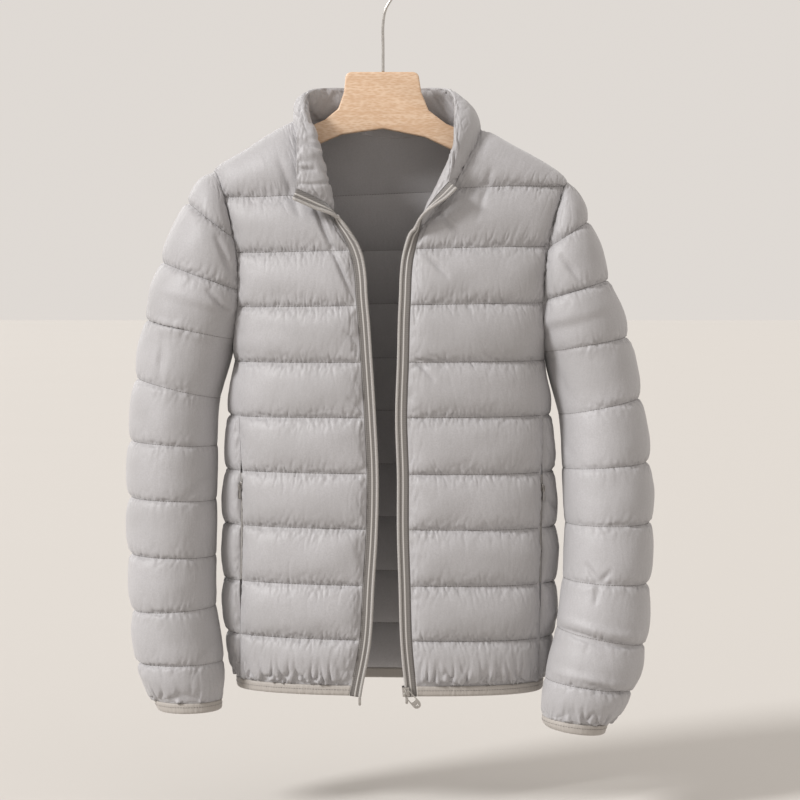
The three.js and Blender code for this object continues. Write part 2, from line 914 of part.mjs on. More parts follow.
function hemBinding() {
  const place = (share, row) => {
    const from = -Math.PI + angleAtX('right', edges('right', row), row);
    const to = -angleAtX('left', edges('left', row), row);
    return mix(from, to - 2 * Math.PI, share);
  };
  const at = (lift) => (share, row) => {
    const angle = place(share, row);
    const point = bodyPoint(angle, row);
    if (row === 10) {
      point.copy(towards(point, bodyPoint(angle, 10.5), seamGap / 2));
    }
    return point.addScaledVector(bodyNormal(angle, row), lift(row));
  };
  const outside = at((row) => bandBulge * bandPlace(row));
  return band(outside, at(() => -wall), 40, false, [10, 10.5, 11]);
}

function cuffBinding(side) {
  const at = (lift) => (share, row) => {
    const point = sleevePoint(side, share, row);
    if (row === 10) {
      point.copy(towards(point, sleevePoint(side, share, 10.5), seamGap / 2));
    }
    return point.addScaledVector(sleeveNormal(side, share, row), lift(row));
  };
  const outside = at((row) => bandBulge * bandPlace(row));
  return band(outside, at(() => -wall), sleeveColumns, true, [10, 10.5, 11]);
}

// The neck seam: points in the middle of the body's wall, right end to left end
function neckSeam() {
  const seam = [];
  const add = (angle, row, place, away) => {
    const normal = bodyNormal(angle, row);
    const point = bodyPoint(angle, row).addScaledVector(normal, -wall / 2);
    seam.push({ point, place, away, normal });
  };
  const frontRows = (side) =>
    rowList(fineSteps, 0, neckRow[side]).filter((row) => row > 0);
  const collarPlace = (side, row) => {
    const knots = [
      [0, 3],
      [0.5, 2],
      [1, 1],
      [neckRow[side], 0],
    ];
    const place = readTable(['row', 'place'], knots)('place', row);
    return side === 'right' ? place : 10 - place;
  };
  const frontAway = (side, row) => {
    const angle = (shift) =>
      frontAngle(side, angleAtX(side, edges(side, row), row) + shift);
    return bodyPoint(angle(0.05), row).sub(bodyPoint(angle(0), row)).normalize();
  };
  for (const row of frontRows('right').reverse()) {
    const angle = frontAngle('right', angleAtX('right', edges('right', row), row));
    add(angle, row, collarPlace('right', row), frontAway('right', row));
  }
  backShares.forEach((share) => {
    if (share >= backNeck[0] - 1e-9 && share <= backNeck[1] + 1e-9) {
      const s = (share - backNeck[0]) / (backNeck[1] - backNeck[0]);
      const row = backTop(share);
      const angle = backPlace(share, row);
      const away = bodyPoint(angle, row).sub(bodyPoint(angle, row + 0.08));
      add(angle, row, 3 + 4 * s, away.normalize());
    }
  });
  for (const row of frontRows('left')) {
    const angle = frontAngle('left', angleAtX('left', edges('left', row), row));
    add(angle, row, collarPlace('left', row), frontAway('left', row));
  }
  return seam;
}

const seamPoints = neckSeam();

function seamAt(place) {
  let i = 0;
  while (i < seamPoints.length - 2 && place > seamPoints[i + 1].place) {
    i += 1;
  }
  const a = seamPoints[i];
  const b = seamPoints[i + 1];
  const t = limit((place - a.place) / (b.place - a.place), 0, 1);
  return {
    point: a.point.clone().lerp(b.point, t),
    away: a.away.clone().lerp(b.away, t).normalize(),
  };
}

// Middle of the collar. Height 0 is the neck seam, 1 the top edge.
function collarPoint(place, height) {
  const read = (name) => collarTop(name, place);
  const { point, away } = seamAt(place);
  const top = vec(read('x'), read('y'), read('z'));
  const roll = vec(read('rollX'), read('rollY'), read('rollZ'));
  const facing = roll.clone().normalize().dot(away);
  const start = point.clone().addScaledVector(roll.clone().normalize(), 0.5);
  start.addScaledVector(away, 0.5 + 1.6 * (1 - limit(facing, 0, 1)));
  const middle = start.clone().add(roll);
  const a = start.lerp(middle, height);
  return a.lerp(middle.lerp(top, height), height);
}

function collarNormal(place, height) {
  const ds = 0.05;
  const dh = 0.02;
  const along = collarPoint(limit(place + ds, 0, 10), height).sub(
    collarPoint(limit(place - ds, 0, 10), height),
  );
  const up = collarPoint(place, limit(height + dh, 0, 1)).sub(
    collarPoint(place, limit(height - dh, 0, 1)),
  );
  return along.cross(up).normalize();
}

function collar() {
  const cloth = new Wall();
  const heights = [0.18, 0.5, 0.82, 1];
  const count = 26;
  const places = [];
  for (let i = 0; i <= count; i += 1) {
    places.push((10 * i) / count);
  }
  const surface = (sign) => {
    const loft = (place, height) => {
      const end = edgeFall(Math.min(place, 10 - place) * 45);
      return wall / 2 + collarLoft * baffle(limit(height, 0, 1)) * end;
    };
    const at = (place, height) =>
      collarPoint(place, height).addScaledVector(
        collarNormal(place, height),
        sign * loft(place, height),
      );
    const base = cloth.line(
      seamPoints.map(({ place }) => at(place, 0)),
      seamPoints.map(({ place }) => place),
    );
    const rows = heights.map((height) =>
      cloth.line(places.map((place) => at(place, height)), places),
    );
    return [base, ...rows];
  };
  const outer = surface(1);
  const inner = surface(-1);
  for (let i = 0; i < outer.length - 1; i += 1) {
    cloth.join(outer[i], outer[i + 1]);
    cloth.join(inner[i + 1], inner[i]);
  }
  cloth.join(inner[0], outer[0]);
  cloth.join(outer.at(-1), inner.at(-1));
  cloth.join(acrossLine(outer, firstOf), acrossLine(inner, firstOf));
  cloth.join(acrossLine(inner, lastOf), acrossLine(outer, lastOf));
  return cloth.geometry();
}

// A section carried along stations, each with a place, a width and a thickness way
function sweep(section, stations) {
  const cloth = new Wall();
  const outline = [...section, section[0]];
  const lines = stations.map(({ point, wide, thick }, index) => {
    const ids = section.map(([w, t]) => {
      const corner = point.clone().addScaledVector(wide, w).addScaledVector(thick, t);
      return cloth.points.push(corner) - 1;
    });
    return { ids: [...ids, ids[0]], places: outline.map((_, i) => i), index };
  });
  for (let i = 0; i < lines.length - 1; i += 1) {
    cloth.join(lines[i], lines[i + 1]);
  }
  const flat = section.map(([w, t]) => new THREE.Vector2(w, t));
  const caps = THREE.ShapeUtils.triangulateShape(flat, []);
  const first = lines[0].ids;
  const end = lines.at(-1).ids;
  const forward = THREE.ShapeUtils.area(flat) > 0;
  for (const [a, b, c] of caps) {
    const [near, far] = forward ? [first, end] : [end, first];
    cloth.faces.push([near[a], near[b], near[c]]);
    cloth.faces.push([far[a], far[c], far[b]]);
  }
  return cloth.geometry();
}

// Front zip: one half of the tape with its coil, hem to collar corner
const tapeSection = [
  [0, 0.8],
  [9.8, 0.8],
  [10.6, 2],
  [tapeWide, 1.4],
  [tapeWide, -1.4],
  [10.6, -2],
  [9.8, -0.8],
  [0, -0.8],
];

function tapeStations(side) {
  const stations = [];
  const rows = rowList(fineSteps, neckRow[side] + 0.12, 11).reverse();
  for (const row of rows) {
    const edge = angleAtX(side, edges(side, row), row);
    const angle = frontAngle(side, edge);
    const normal = bodyNormal(angle, row);
    const point = bodyPoint(angle, row).addScaledVector(normal, -wall / 2);
    const next = bodyPoint(frontAngle(side, edge + 0.03), row);
    const wide = next.sub(bodyPoint(angle, row)).normalize();
    stations.push({ point, wide, turned: 0 });
  }
  const end = side === 'right' ? 0 : 10;
  const inwards = side === 'right' ? 0.12 : 9.88;
  for (const height of [0.12, 0.3, 0.48, 0.66, 0.84, 1]) {
    const point = collarPoint(end, height);
    const wide = point.clone().sub(collarPoint(inwards, height)).normalize();
    stations.push({ point, wide, turned: 0 });
  }
  const flats = stations.map(({ wide }) => wide.clone());
  const joint = rows.length;
  const viewer = vec(0, -1, 0);
  stations.forEach((station, i) => {
    const near = limit(1 - Math.abs(i - joint + 0.5) / 3.2, 0, 1);
    station.wide.lerp(viewer, near * 0.8).normalize();
  });
  for (let pass = 0; pass < 3; pass += 1) {
    const ways = stations.map(({ wide }) => wide.clone());
    for (let i = 1; i < stations.length - 1; i += 1) {
      const smooth = ways[i - 1].clone().add(ways[i]).add(ways[i]).add(ways[i + 1]);
      stations[i].wide.copy(smooth.normalize());
    }
  }
  stations.forEach((station, i) => {
    const before = stations[Math.max(0, i - 1)].point;
    const after = stations[Math.min(stations.length - 1, i + 1)].point;
    const along = after.clone().sub(before).normalize();
    station.wide.addScaledVector(along, -station.wide.dot(along)).normalize();
    station.thick = along.cross(station.wide).normalize();
    const lean = 1 - limit(station.wide.dot(flats[i]), 0, 1);
    station.clear = seamGap + 1.6 * lean;
  });
  return stations.map(({ point, wide, thick, clear }) => ({
    point: point.clone().addScaledVector(wide, clear),
    wide,
    thick,
  }));
}

const zipTape = (side) => sweep(tapeSection, tapeStations(side));

// Pocket zip, in the slot of the pocket seam
function pocketStation(side, row) {
  const angle = frontAngle(side, angleAtX(side, pockets(side, row), row));
  const normal = bodyNormal(angle, row);
  const down = bodyPoint(angle, row + 0.05).sub(bodyPoint(angle, row - 0.05));
  const wide = down.clone().cross(normal).normalize();
  return { point: bodyPoint(angle, row), wide, thick: normal };
}

function pocketZip(side) {
  const half = pocketSlot - seamGap;
  const section = [
    [-half, 0],
    [half, 0],
    [half, -wall],
    [-half, -wall],
  ];
  const stations = rowList(fineSteps, 6.04, 7.98).map((row) =>
    pocketStation(side, row),
  );
  return sweep(section, stations);
}

// Extruded plate: an outline and its holes, thickness along Y
function plate(outline, holes, thick) {
  const shape = new THREE.Shape(outline.map(([x, z]) => new THREE.Vector2(x, z)));
  for (const hole of holes) {
    shape.holes.push(new THREE.Path(hole.map(([x, z]) => new THREE.Vector2(x, z))));
  }
  const geometry = new THREE.ExtrudeGeometry(shape, { depth: thick, bevelEnabled: false });
  geometry.rotateX(Math.PI / 2);
  geometry.translate(0, thick / 2, 0);
  return geometry;
}

// Points of an oval
function oval(centreX, centreZ, halfX, halfZ, count) {
  const points = [];
  for (let i = 0; i < count; i += 1) {
    const angle = (2 * Math.PI * i) / count;
    points.push([centreX + halfX * Math.cos(angle), centreZ + halfZ * Math.sin(angle)]);
  }
  return points;
}

const wasm = await Module();
wasm.setup();

function toSolid(geometry) {
  const bare = new THREE.BufferGeometry();
  const flat = geometry.index ? geometry.toNonIndexed() : geometry;
  const source = flat.attributes.position;
  const seen = new Map();
  const corners = [];
  const faces = [];
  for (let i = 0; i < source.count; i += 1) {
    const values = [source.getX(i), source.getY(i), source.getZ(i)];
    const key = values.map((value) => Math.round(value * 1e4)).join(' ');
    if (!seen.has(key)) {
      seen.set(key, corners.length / 3);
      corners.push(...values);
    }
    faces.push(seen.get(key));
  }
  bare.dispose();
  return new wasm.Manifold(
    new wasm.Mesh({
      numProp: 3,
      vertProperties: new Float32Array(corners),
      triVerts: new Uint32Array(faces),
    }),
  );
}

function fromSolid(solid) {
  const mesh = solid.getMesh();
  const geometry = new THREE.BufferGeometry();
  const corners = new THREE.Float32BufferAttribute(mesh.vertProperties, 3);
  geometry.setAttribute('position', corners);
  geometry.setIndex(Array.from(mesh.triVerts));
  geometry.computeVertexNormals();
  return geometry;
}

// Main slider: a body that clasps the coil, with a bail in front for the pull
const sliderTall = 11.4;
const clasp = [
  [8.6, 4.6],
  [15.8, 4.6],
  [17, 3.4],
  [17, -3.4],
  [15.8, -4.6],
  [8.6, -4.6],
  [8.6, -2.6],
  [14.6, -2.6],
  [14.6, 2.6],
  [8.6, 2.6],
];
const bailWide = 1.6;
const bailOut = 4.4;
const bailHalf = 3.4;
const bailWindow = 2.2;

// A bail seen from the side: an arch with a window
function bail(wide, half, out, window) {
  const shape = new THREE.Shape();
  shape.moveTo(0.6, -half);
  shape.lineTo(0.6, half);
  shape.lineTo(-out + 1, half);
  shape.lineTo(-out, half - 1);
  shape.lineTo(-out, -half + 1);
  shape.lineTo(-out + 1, -half);
  const hole = new THREE.Path();
  hole.moveTo(-0.4, -window);
  hole.lineTo(-0.4, window);
  hole.lineTo(-out + 1.2, window);
  hole.lineTo(-out + 1.2, -window);
  shape.holes.push(hole);
  const geometry = new THREE.ExtrudeGeometry(shape, { depth: wide, bevelEnabled: false });
  geometry.translate(0, 0, -wide / 2);
  geometry.applyMatrix4(
    new THREE.Matrix4().makeBasis(vec(0, 1, 0), vec(0, 0, 1), vec(1, 0, 0)),
  );
  return geometry;
}

function zipSlider() {
  const shape = new THREE.Shape(clasp.map(([w, t]) => new THREE.Vector2(-w, -t)));
  const piece = new THREE.ExtrudeGeometry(shape, { depth: sliderTall, bevelEnabled: false });
  piece.translate(0, 0, -sliderTall / 2);
  const loop = bail(bailWide, bailHalf, bailOut, bailWindow);
  loop.translate(-12.6, -4.6, 0);
  return fromSolid(toSolid(piece).add(toSolid(loop)));
}

// Main pull: a two-legged frame with a solid rounded foot. Its bar is at the origin.
const pullHalf = 5;
const pullFoot = -21;

function zipPull() {
  const outline = [
    [-3.8, 0.9],
    [3.8, 0.9],
    [4.6, 0],
    [pullHalf, pullFoot + 2],
  ];
  for (let i = 1; i < 8; i += 1) {
    const angle = (Math.PI * i) / 8;
    outline.push([
      pullHalf * Math.cos(angle),
      pullFoot + 2 - pullHalf * Math.sin(angle),
    ]);
  }
  outline.push([-pullHalf, pullFoot + 2], [-4.6, 0]);
  const slot = [
    [-3.3, -0.9],
    [-3.5, -13.5],
    [3.5, -13.5],
    [3.3, -0.9],
  ];
  const crescent = [
    [-2.4, -18.6],
    [-1.3, -20],
    [0, -20.5],
    [1.3, -20],
    [2.4, -18.6],
    [1.2, -19],
    [0, -19.2],
    [-1.2, -19],
  ];
  return plate(outline, [slot, crescent], 1.5);
}

// Pocket slider with its bail, and the drop-shaped pocket pull
function pocketSlider() {
  const outline = [
    [-2.1, 4],
    [-1.3, 4.8],
    [1.3, 4.8],
    [2.1, 4],
    [2.1, -4],
    [1.3, -4.8],
    [-1.3, -4.8],
    [-2.1, -4],
  ];
  const piece = plate(outline, [], 2.2);
  piece.translate(0, -1.6, 0);
  const loop = bail(1.2, 3.2, 3.4, 2.1);
  loop.translate(0, -2.7, 0);
  return fromSolid(toSolid(piece).add(toSolid(loop)));
}

function pocketPull() {
  const outline = [
    [-1.3, 0.75],
    [1.3, 0.75],
    [1.6, -1],
    [1.6, -4],
    [1.9, -10],
    [1.9, -13.5],
    [1.3, -15.2],
    [0, -16],
    [-1.3, -15.2],
    [-1.9, -13.5],
    [-1.9, -10],
    [-1.6, -4],
    [-1.6, -1],
  ];
  const eye = [
    [-0.8, -0.7],
    [-0.8, -4.2],
    [0.8, -4.2],
    [0.8, -0.7],
  ];
  return plate(outline, [eye], 1.2);
}

// Foot pieces under the coil of each half of the front zip
function zipFoot(tall) {
  return plate(
    [
      [-1.6, 0],
      [1.6, 0],
      [1.6, -tall + 1],
      [0.8, -tall],
      [-0.8, -tall],
      [-1.6, -tall + 1],
    ],
    [],
    3,
  );
}

// Hanger: one flat board, neck plate and two arms under the shoulders
const woodThick = 12;
const woodTop = -130;
const shoulderClear = 5.4; // board below the cloth's outside

function hangerWood() {
  const top = (x) => shoulder('z', x) - shoulderClear;
  const right = [-188, -170, -150, -130, -112, -102];
  const left = [112, 122, 138, 155, 172, 190, 204];
  const outline = [
    [-38, woodTop],
    [-42, woodTop - 0.8],
    [-45, woodTop - 4],
    [-47, woodTop - 24],
    [-54, woodTop - 44],
    [-70, woodTop - 57],
    [-88, woodTop - 65],
    ...right.reverse().map((x) => [x, top(x) - (x > -110 ? 4 : 0)]),
    [-197, -256],
    [-199, -262],
    [-194, -270],
    [-150, -252],
    [-100, -226],
    [-50, -205],
    [0, -198],
    [50, -208],
    [110, -236],
    [165, -264],
    [206, -284],
    [213, -276],
    [211, -268],
    ...left.reverse().map((x) => [x, top(x) - (x < 118 ? 3 : 0)]),
    [98, woodTop - 71],
    [76, woodTop - 62],
    [55, woodTop - 46],
    [46, woodTop - 24],
    [43, woodTop - 4],
    [40, woodTop - 0.8],
    [36, woodTop],
  ];
  return plate(outline, [], woodThick);
}

// Hook: a bent wire, its inside top at the origin
const wire = 1.8; // radius
const hookInside = 18;

function hangerHook() {
  const radius = hookInside + wire;
  const centre = -hookInside;
  const points = [
    vec(0, 0, woodTop + seamGap),
    vec(0, 0, -100),
    vec(0, 0, -72),
    vec(3, 0, -55),
    vec(14, 0, -36),
  ];
  for (let degrees = -20; degrees <= 190; degrees += 30) {
    const angle = (degrees * Math.PI) / 180;
    points.push(vec(radius * Math.cos(angle), 0, centre + radius * Math.sin(angle)));
  }
  const path = new THREE.CatmullRomCurve3(points, false, 'centripetal');
  const round = new THREE.Shape(
    oval(0, 0, wire, wire, 8).map(([x, z]) => new THREE.Vector2(x, z)),
  );
  return new THREE.ExtrudeGeometry(round, {
    steps: 44,
    extrudePath: path,
    bevelEnabled: false,
  });
}

const group = new THREE.Group();
group.name = 'puffer_jacket';

const fabric = { color: 0xb9b3ae, roughness: 0.62, metalness: 0 };
const binding = { color: 0xa8a19a, roughness: 0.75, metalness: 0 };
const tapeLook = { color: 0x9a9189, roughness: 0.7, metalness: 0 };
const metal = { color: 0xb4afa9, roughness: 0.3, metalness: 1 };
const wood = { color: 0xcd9b72, roughness: 0.5, metalness: 0 };
const steel = { color: 0xc7beb4, roughness: 0.25, metalness: 1 };

function place(name, geometry, look) {
  const mesh = new THREE.Mesh(geometry, new THREE.MeshStandardMaterial(look));
  mesh.name = name;
  group.add(mesh);
  return mesh;
}

for (const side of ['right', 'left']) {
  place(`front_${side}`, frontPanel(side), fabric);
  place(`side_${side}`, sidePanel(side), fabric);
  place(`sleeve_${side}`, sleevePanel(side), fabric);
  place(`cuff_${side}`, cuffBinding(side), binding);
  place(`zip_tape_${side}`, zipTape(side), tapeLook);
  place(`pocket_zip_${side}`, pocketZip(side), tapeLook);
}
place('back', backPanel(), fabric);
place('collar', collar(), fabric);
place('hem_binding', hemBinding(), binding);
place('hanger_wood', hangerWood(), wood);
place('hanger_hook', hangerHook(), steel);

// Main slider near the foot of the left tape, the pull hanging aslant from its bail
const pullTilt = -0.72;
const sliderStation = tapeStations('left')[3];
const sliderUp = sliderStation.wide.clone().cross(sliderStation.thick);
const slider = place('zip_slider', zipSlider(), metal);
slider.quaternion.setFromRotationMatrix(
  new THREE.Matrix4().makeBasis(
    sliderStation.wide.clone().negate(),
    sliderStation.thick.clone().negate(),
    sliderUp,
  ),
);
slider.position.copy(sliderStation.point);
const pull = place('zip_pull', zipPull(), metal);
pull.position
  .copy(sliderStation.point)
  .addScaledVector(sliderStation.wide, 12.6)
  .addScaledVector(sliderStation.thick, 4.6 + 1.8);
pull.rotation.set(0, pullTilt, 0);

for (const side of ['right', 'left']) {
  const end = tapeStations(side)[0];
  const foot = place(`zip_foot_${side}`, zipFoot(side === 'left' ? 7 : 9), metal);
  foot.position.copy(end.point).addScaledVector(end.wide, 12.3);
  foot.position.z -= 0.9;
}

// Pocket sliders stand on the pocket zips, their pulls hang straight
for (const side of ['right', 'left']) {
  const row = 6.28;
  const station = pocketStation(side, row);
  const flat = vec(station.thick.x, station.thick.y, 0).normalize();
  const turn = Math.atan2(flat.x, -flat.y);
  const runner = place(`pocket_slider_${side}`, pocketSlider(), metal);
  runner.position.copy(station.point);
  runner.rotation.set(0, 0, turn);
  const drop = place(`pocket_pull_${side}`, pocketPull(), metal);
  drop.position.copy(station.point).addScaledVector(flat, 2.7 + 1.35);
  drop.rotation.set(0, 0, turn);
}

export default group;
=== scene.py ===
# Light quilted down jacket, worn open, on a flat wooden hanger.
# Tables and dictionaries are in millimetres, meshes are made in metres.
import math
import bmesh
import bpy
import numpy as np
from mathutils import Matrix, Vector, noise


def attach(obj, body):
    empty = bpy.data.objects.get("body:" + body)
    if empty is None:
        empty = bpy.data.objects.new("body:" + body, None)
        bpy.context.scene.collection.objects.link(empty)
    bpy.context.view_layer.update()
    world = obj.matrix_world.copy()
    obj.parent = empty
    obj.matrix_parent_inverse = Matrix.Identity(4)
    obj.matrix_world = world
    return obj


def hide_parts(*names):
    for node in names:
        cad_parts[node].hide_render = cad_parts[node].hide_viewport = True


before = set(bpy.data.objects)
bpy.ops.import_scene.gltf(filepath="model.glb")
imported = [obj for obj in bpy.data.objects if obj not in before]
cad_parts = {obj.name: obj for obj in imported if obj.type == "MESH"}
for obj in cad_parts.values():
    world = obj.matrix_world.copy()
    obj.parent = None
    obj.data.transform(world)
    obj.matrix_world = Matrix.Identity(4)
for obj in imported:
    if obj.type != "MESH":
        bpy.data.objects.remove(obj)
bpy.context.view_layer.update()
mm = 0.001
random = np.random.default_rng(11)
sides = ("right", "left")  # the wearer's

# Camera: level with the chest, a little above, 1.2 mm of jacket in each pixel of the photograph
photo = {"pixel": 1.2, "frame": 800, "middle": (20.4, -30, -523.6), "lens": 110, "sensor": 36, "tilt": 3}


def makeCamera():
    lens = bpy.data.cameras.new("photoCamera")
    lens.lens = photo["lens"]
    lens.sensor_width = photo["sensor"]
    camera = bpy.data.objects.new("photoCamera", lens)
    distance = photo["pixel"] * photo["frame"] * photo["lens"] / photo["sensor"]
    tilt = math.radians(photo["tilt"])
    away = Vector((0, -math.cos(tilt), math.sin(tilt)))
    camera.location = (Vector(photo["middle"]) + distance * away) * mm
    camera.rotation_euler = (math.pi / 2 - tilt, 0, 0)
    bpy.context.collection.objects.link(camera)
    bpy.context.scene.camera = camera


makeCamera()
print("camera stands at the photograph's angle")

# Sizes of the jacket. The loft falls off towards a seam over a run, and short baffles hold less down.
# Centre and power shape the body's rings; pocketTop and sleeveArmpit are rows.
jacket = {
    "gap": 0.3, "wall": 2, "bodyLoft": 8, "sleeveLoft": 7.5, "edgeRun": 24, "sideRun": 42,
    "armpitFlat": 6, "armpitRun": 40, "fullBaffle": 50, "centre": 8, "power": 1.25,
    "pocketSlot": 1.8, "pocketTop": 5, "sleeveArmpit": 3.18, "backNeckDeep": 0.36,
}


# A table of numbers, read at any place along its first column by a smooth curve
def readTable(names, rows):
    data = np.array(rows, float)
    keys = data[:, 0]
    spans = np.diff(keys)

    def read(name, at):
        values = data[:, names.index(name)]
        steps = np.diff(values) / spans
        slopes = np.empty(len(keys))
        slopes[0] = steps[0]
        slopes[-1] = steps[-1]
        slopes[1:-1] = (steps[:-1] * spans[1:] + steps[1:] * spans[:-1]) / (spans[1:] + spans[:-1])
        at = np.asarray(at, float)
        i = np.clip(np.searchsorted(keys, at, side="left") - 1, 0, len(keys) - 2)
        t = np.clip((at - keys[i]) / spans[i], 0, 1)
        a = values[i] * (2 * t ** 3 - 3 * t ** 2 + 1)
        b = slopes[i] * spans[i] * (t ** 3 - 2 * t ** 2 + t)
        c = values[i + 1] * (3 * t ** 2 - 2 * t ** 3)
        d = slopes[i + 1] * spans[i] * (t ** 3 - t ** 2)
        return a + b + c + d

    return read


# Stitch lines of the body, shoulder to hem
body = readTable(
    ["row", "zRight", "zLeft", "half", "front", "back"],
    [
        [0, -215, -200, 233, 48, 46],
        [1, -281, -268, 218, 56, 54],
        [2, -347, -340, 206, 72, 64],
        [3, -411.6, -407, 197, 84, 71],
        [4, -477, -476, 187.5, 88, 74],
        [5, -542, -541.5, 193, 88, 74],
        [6, -607, -609.5, 197, 87, 73],
        [7, -672, -676, 200, 86, 72],
        [8, -739, -743, 200, 85, 71],
        [9, -804, -809, 197, 83, 69],
        [10, -860, -863, 187, 77, 63],
        [11, -872.5, -875.5, 185, 75.5, 61.5],
    ],
)

# X of the front edges: the neckline first, then the zip
edges = readTable(
    ["row", "right", "left"],
    [
        [0, -107, 116], [0.5, -100, 110], [0.8, -86, 94], [1, -77, 81],
        [1.36, -62, 63], [1.6, -53, 48], [2, -40, 39], [3, -31, 33],
        [4, -26, 31], [5, -22, 29], [6, -19, 31], [7, -20, 31],
        [8, -24, 33], [9, -28, 35], [10, -38, 40], [11, -40, 41],
    ],
)
neckRow = {"right": 1.36, "left": 1.6}

# Top of the shoulders by X
shoulder = readTable(
    ["x", "z"],
    [
        [-240, -272], [-205, -250], [-166, -226], [-118, -196], [-107, -190], [5, -194],
        [116, -200], [146, -215.5], [185, -238], [222, -262], [250, -281],
    ],
)

# Ring angle of the armhole, measured from the side seam
armholes = {
    "right": readTable(
        ["row", "angle"],
        [[0, 0.465], [1, 0.475], [2, 0.531], [3, 0.438], [3.4, 0.32], [3.65, 0.175], [3.79, 0]],
    ),
    "left": readTable(
        ["row", "angle"],
        [[0, 0.453], [1, 0.33], [2, 0.448], [3, 0.4], [3.5, 0.31], [3.82, 0.17], [3.98, 0]],
    ),
}
armpitRow = {"right": 3.79, "left": 3.98}

# X of the pocket seams, fifth stitch line to hem
pockets = readTable(
    ["row", "right", "left"],
    [[5, -172, 191], [6, -169, 190], [7, -168.5, 189], [8, -170, 188.5], [10, -173, 187]],
)

# Sleeves: outer and inner end of each stitch line, half depth, middle in Y
sleeveNames = ["row", "outX", "outZ", "inX", "inZ", "deep", "mid"]
sleeves = {
    "right": readTable(sleeveNames, [
        [0, -206, -251, -205, -250, 18, 0],
        [1, -234, -287, -174, -329, 50, -2],
        [2, -265, -358.5, -173, -391.6, 60, -2],
        [3, -284, -428, -179, -452.8, 65, -1],
        [3.18, -286.5, -441, -181, -463.6, 65, 0],
        [4, -296, -498, -197, -522, 61, -6],
        [5, -303, -572.6, -200.5, -578.6, 59, -13],
        [6, -304, -640, -201.5, -643.6, 57, -19],
        [7, -303, -708.4, -202, -710.8, 54, -23],
        [8, -299.5, -776.6, -202, -771, 51, -27],
        [9, -293, -839, -193, -836.8, 48, -31],
        [10, -276, -884, -194.5, -883.5, 38, -34],
        [11, -270, -897, -195, -895.5, 36, -35],
    ]),
    "left": readTable(sleeveNames, [
        [0, 223, -263, 222, -262, 16, 0],
        [1, 246, -310, 199, -340, 46, -2],
        [2, 270, -380, 195.6, -403.6, 58, -2],
        [3, 293.5, -448.5, 196.5, -468, 64, -1],
        [3.18, 297, -462, 196, -474.5, 64, 0],
        [4, 308, -522, 212, -541, 60, -10],
        [5, 317.5, -598, 216, -605, 58, -22],
        [6, 320, -670, 219, -670, 56, -34],
        [7, 315.5, -741.5, 216, -735, 54, -46],
        [8, 310.5, -813.5, 208, -793, 51, -56],
        [9, 295, -867.5, 194, -853, 47, -63],
        [10, 269, -907.5, 190, -897.5, 38, -66],
        [11, 264, -919.5, 194.5, -910.5, 36, -67],
    ]),
}

# Where the armhole of the body lies on the sleeve
armMap = {
    "right": readTable(
        ["row", "sleeve"],
        [[0, 0], [0.5, 0.2], [1.73, 1], [2.69, 2], [3.6, 3], [3.79, 3.18]],
    ),
    "left": readTable(
        ["row", "sleeve"],
        [[0, 0], [0.9, 0.25], [2, 1], [2.95, 2], [3.85, 3], [3.98, 3.18]],
    ),
}

# Top edge of the collar and the way it leaves the neck seam, right end to left end
collarTop = readTable(
    ["at", "x", "y", "z", "rollX", "rollY", "rollZ"],
    [
        [0, -101, -80, -272, 8, -15, 9],
        [1, -101, -76, -240, 8, -15, 22],
        [2, -100, -58, -197, 5, -10, 28],
        [3, -90, -14, -157, 5, -2, 28],
        [4, -62, 24, -147, 1, 5, 30],
        [5, 5, 34, -150, 0, 5, 30],
        [6, 62, 24, -147, -1, 5, 30],
        [7, 84, -14, -158, -5, -2, 28],
        [8, 84, -56, -200, -5, -11, 26],
        [9, 83, -70, -236, -5, -15, 20],
        [10, 78, -79, -264, -6, -16, 9],
    ],
)


# Small helpers for arrays of points
def signedPower(value, power):
    return np.sign(value) * np.abs(value) ** power


def mix(a, b, t):
    return a + (b - a) * t


def dot(a, b):
    return (a * b).sum(-1)


def length(vectors):
    return np.sqrt(dot(vectors, vectors))


def unit(vectors):
    return vectors / np.maximum(length(vectors), 1e-9)[..., None]


def stack(x, y, z):
    return np.stack(np.broadcast_arrays(x, y, z), -1).astype(float)


def arch(share):
    return np.sqrt(np.clip(4 * share * (1 - share), 0, 1))


# The part of some directions that is square to a way
def squareTo(way, vectors):
    return unit(vectors - way * dot(vectors, way)[:, None])


# Distance run along a line of points
def runAlong(points):
    return np.concatenate([[0], np.cumsum(length(np.diff(points, axis=0)))])


def readRun(at, run, values):
    return np.stack([np.interp(at, run, values[:, k]) for k in range(3)], -1)


def readPoint(table, names, at):
    return stack(*(table(name, at) for name in names))


# The body's surface. Angle 0 is the wearer's left side, a quarter turn is the back.
def bodyPoint(angle, row):
    angle, row = np.broadcast_arrays(np.asarray(angle, float), np.asarray(row, float))
    x = jacket["centre"] + body("half", row) * signedPower(np.cos(angle), 1 / jacket["power"])
    across = np.clip((x + 150) / 300, 0, 1)
    low = np.maximum(row, 1)
    level = mix(body("zRight", low), body("zLeft", low), across)
    out = signedPower(np.sin(angle), 1 / jacket["power"])
    depth = np.where(out > 0, body("back", low), body("front", low))
    turn = (1 - np.minimum(row, 1)) * math.pi / 2
    rise = shoulder("z", x) - level
    return stack(x, depth * out * np.cos(turn), level + rise * np.sin(turn))


def bodyNormal(angle, row):
    around = bodyPoint(angle + 0.02, row) - bodyPoint(angle - 0.02, row)
    down = bodyPoint(angle, row + 0.01) - bodyPoint(angle, np.maximum(0, row - 0.01))
    return unit(np.cross(down, around))


def frontAngle(side, angle):
    return -angle if side == "left" else angle - math.pi


def backAngle(side, angle):
    return angle if side == "left" else math.pi - angle


def sideSign(side):
    return 1 if side == "left" else -1


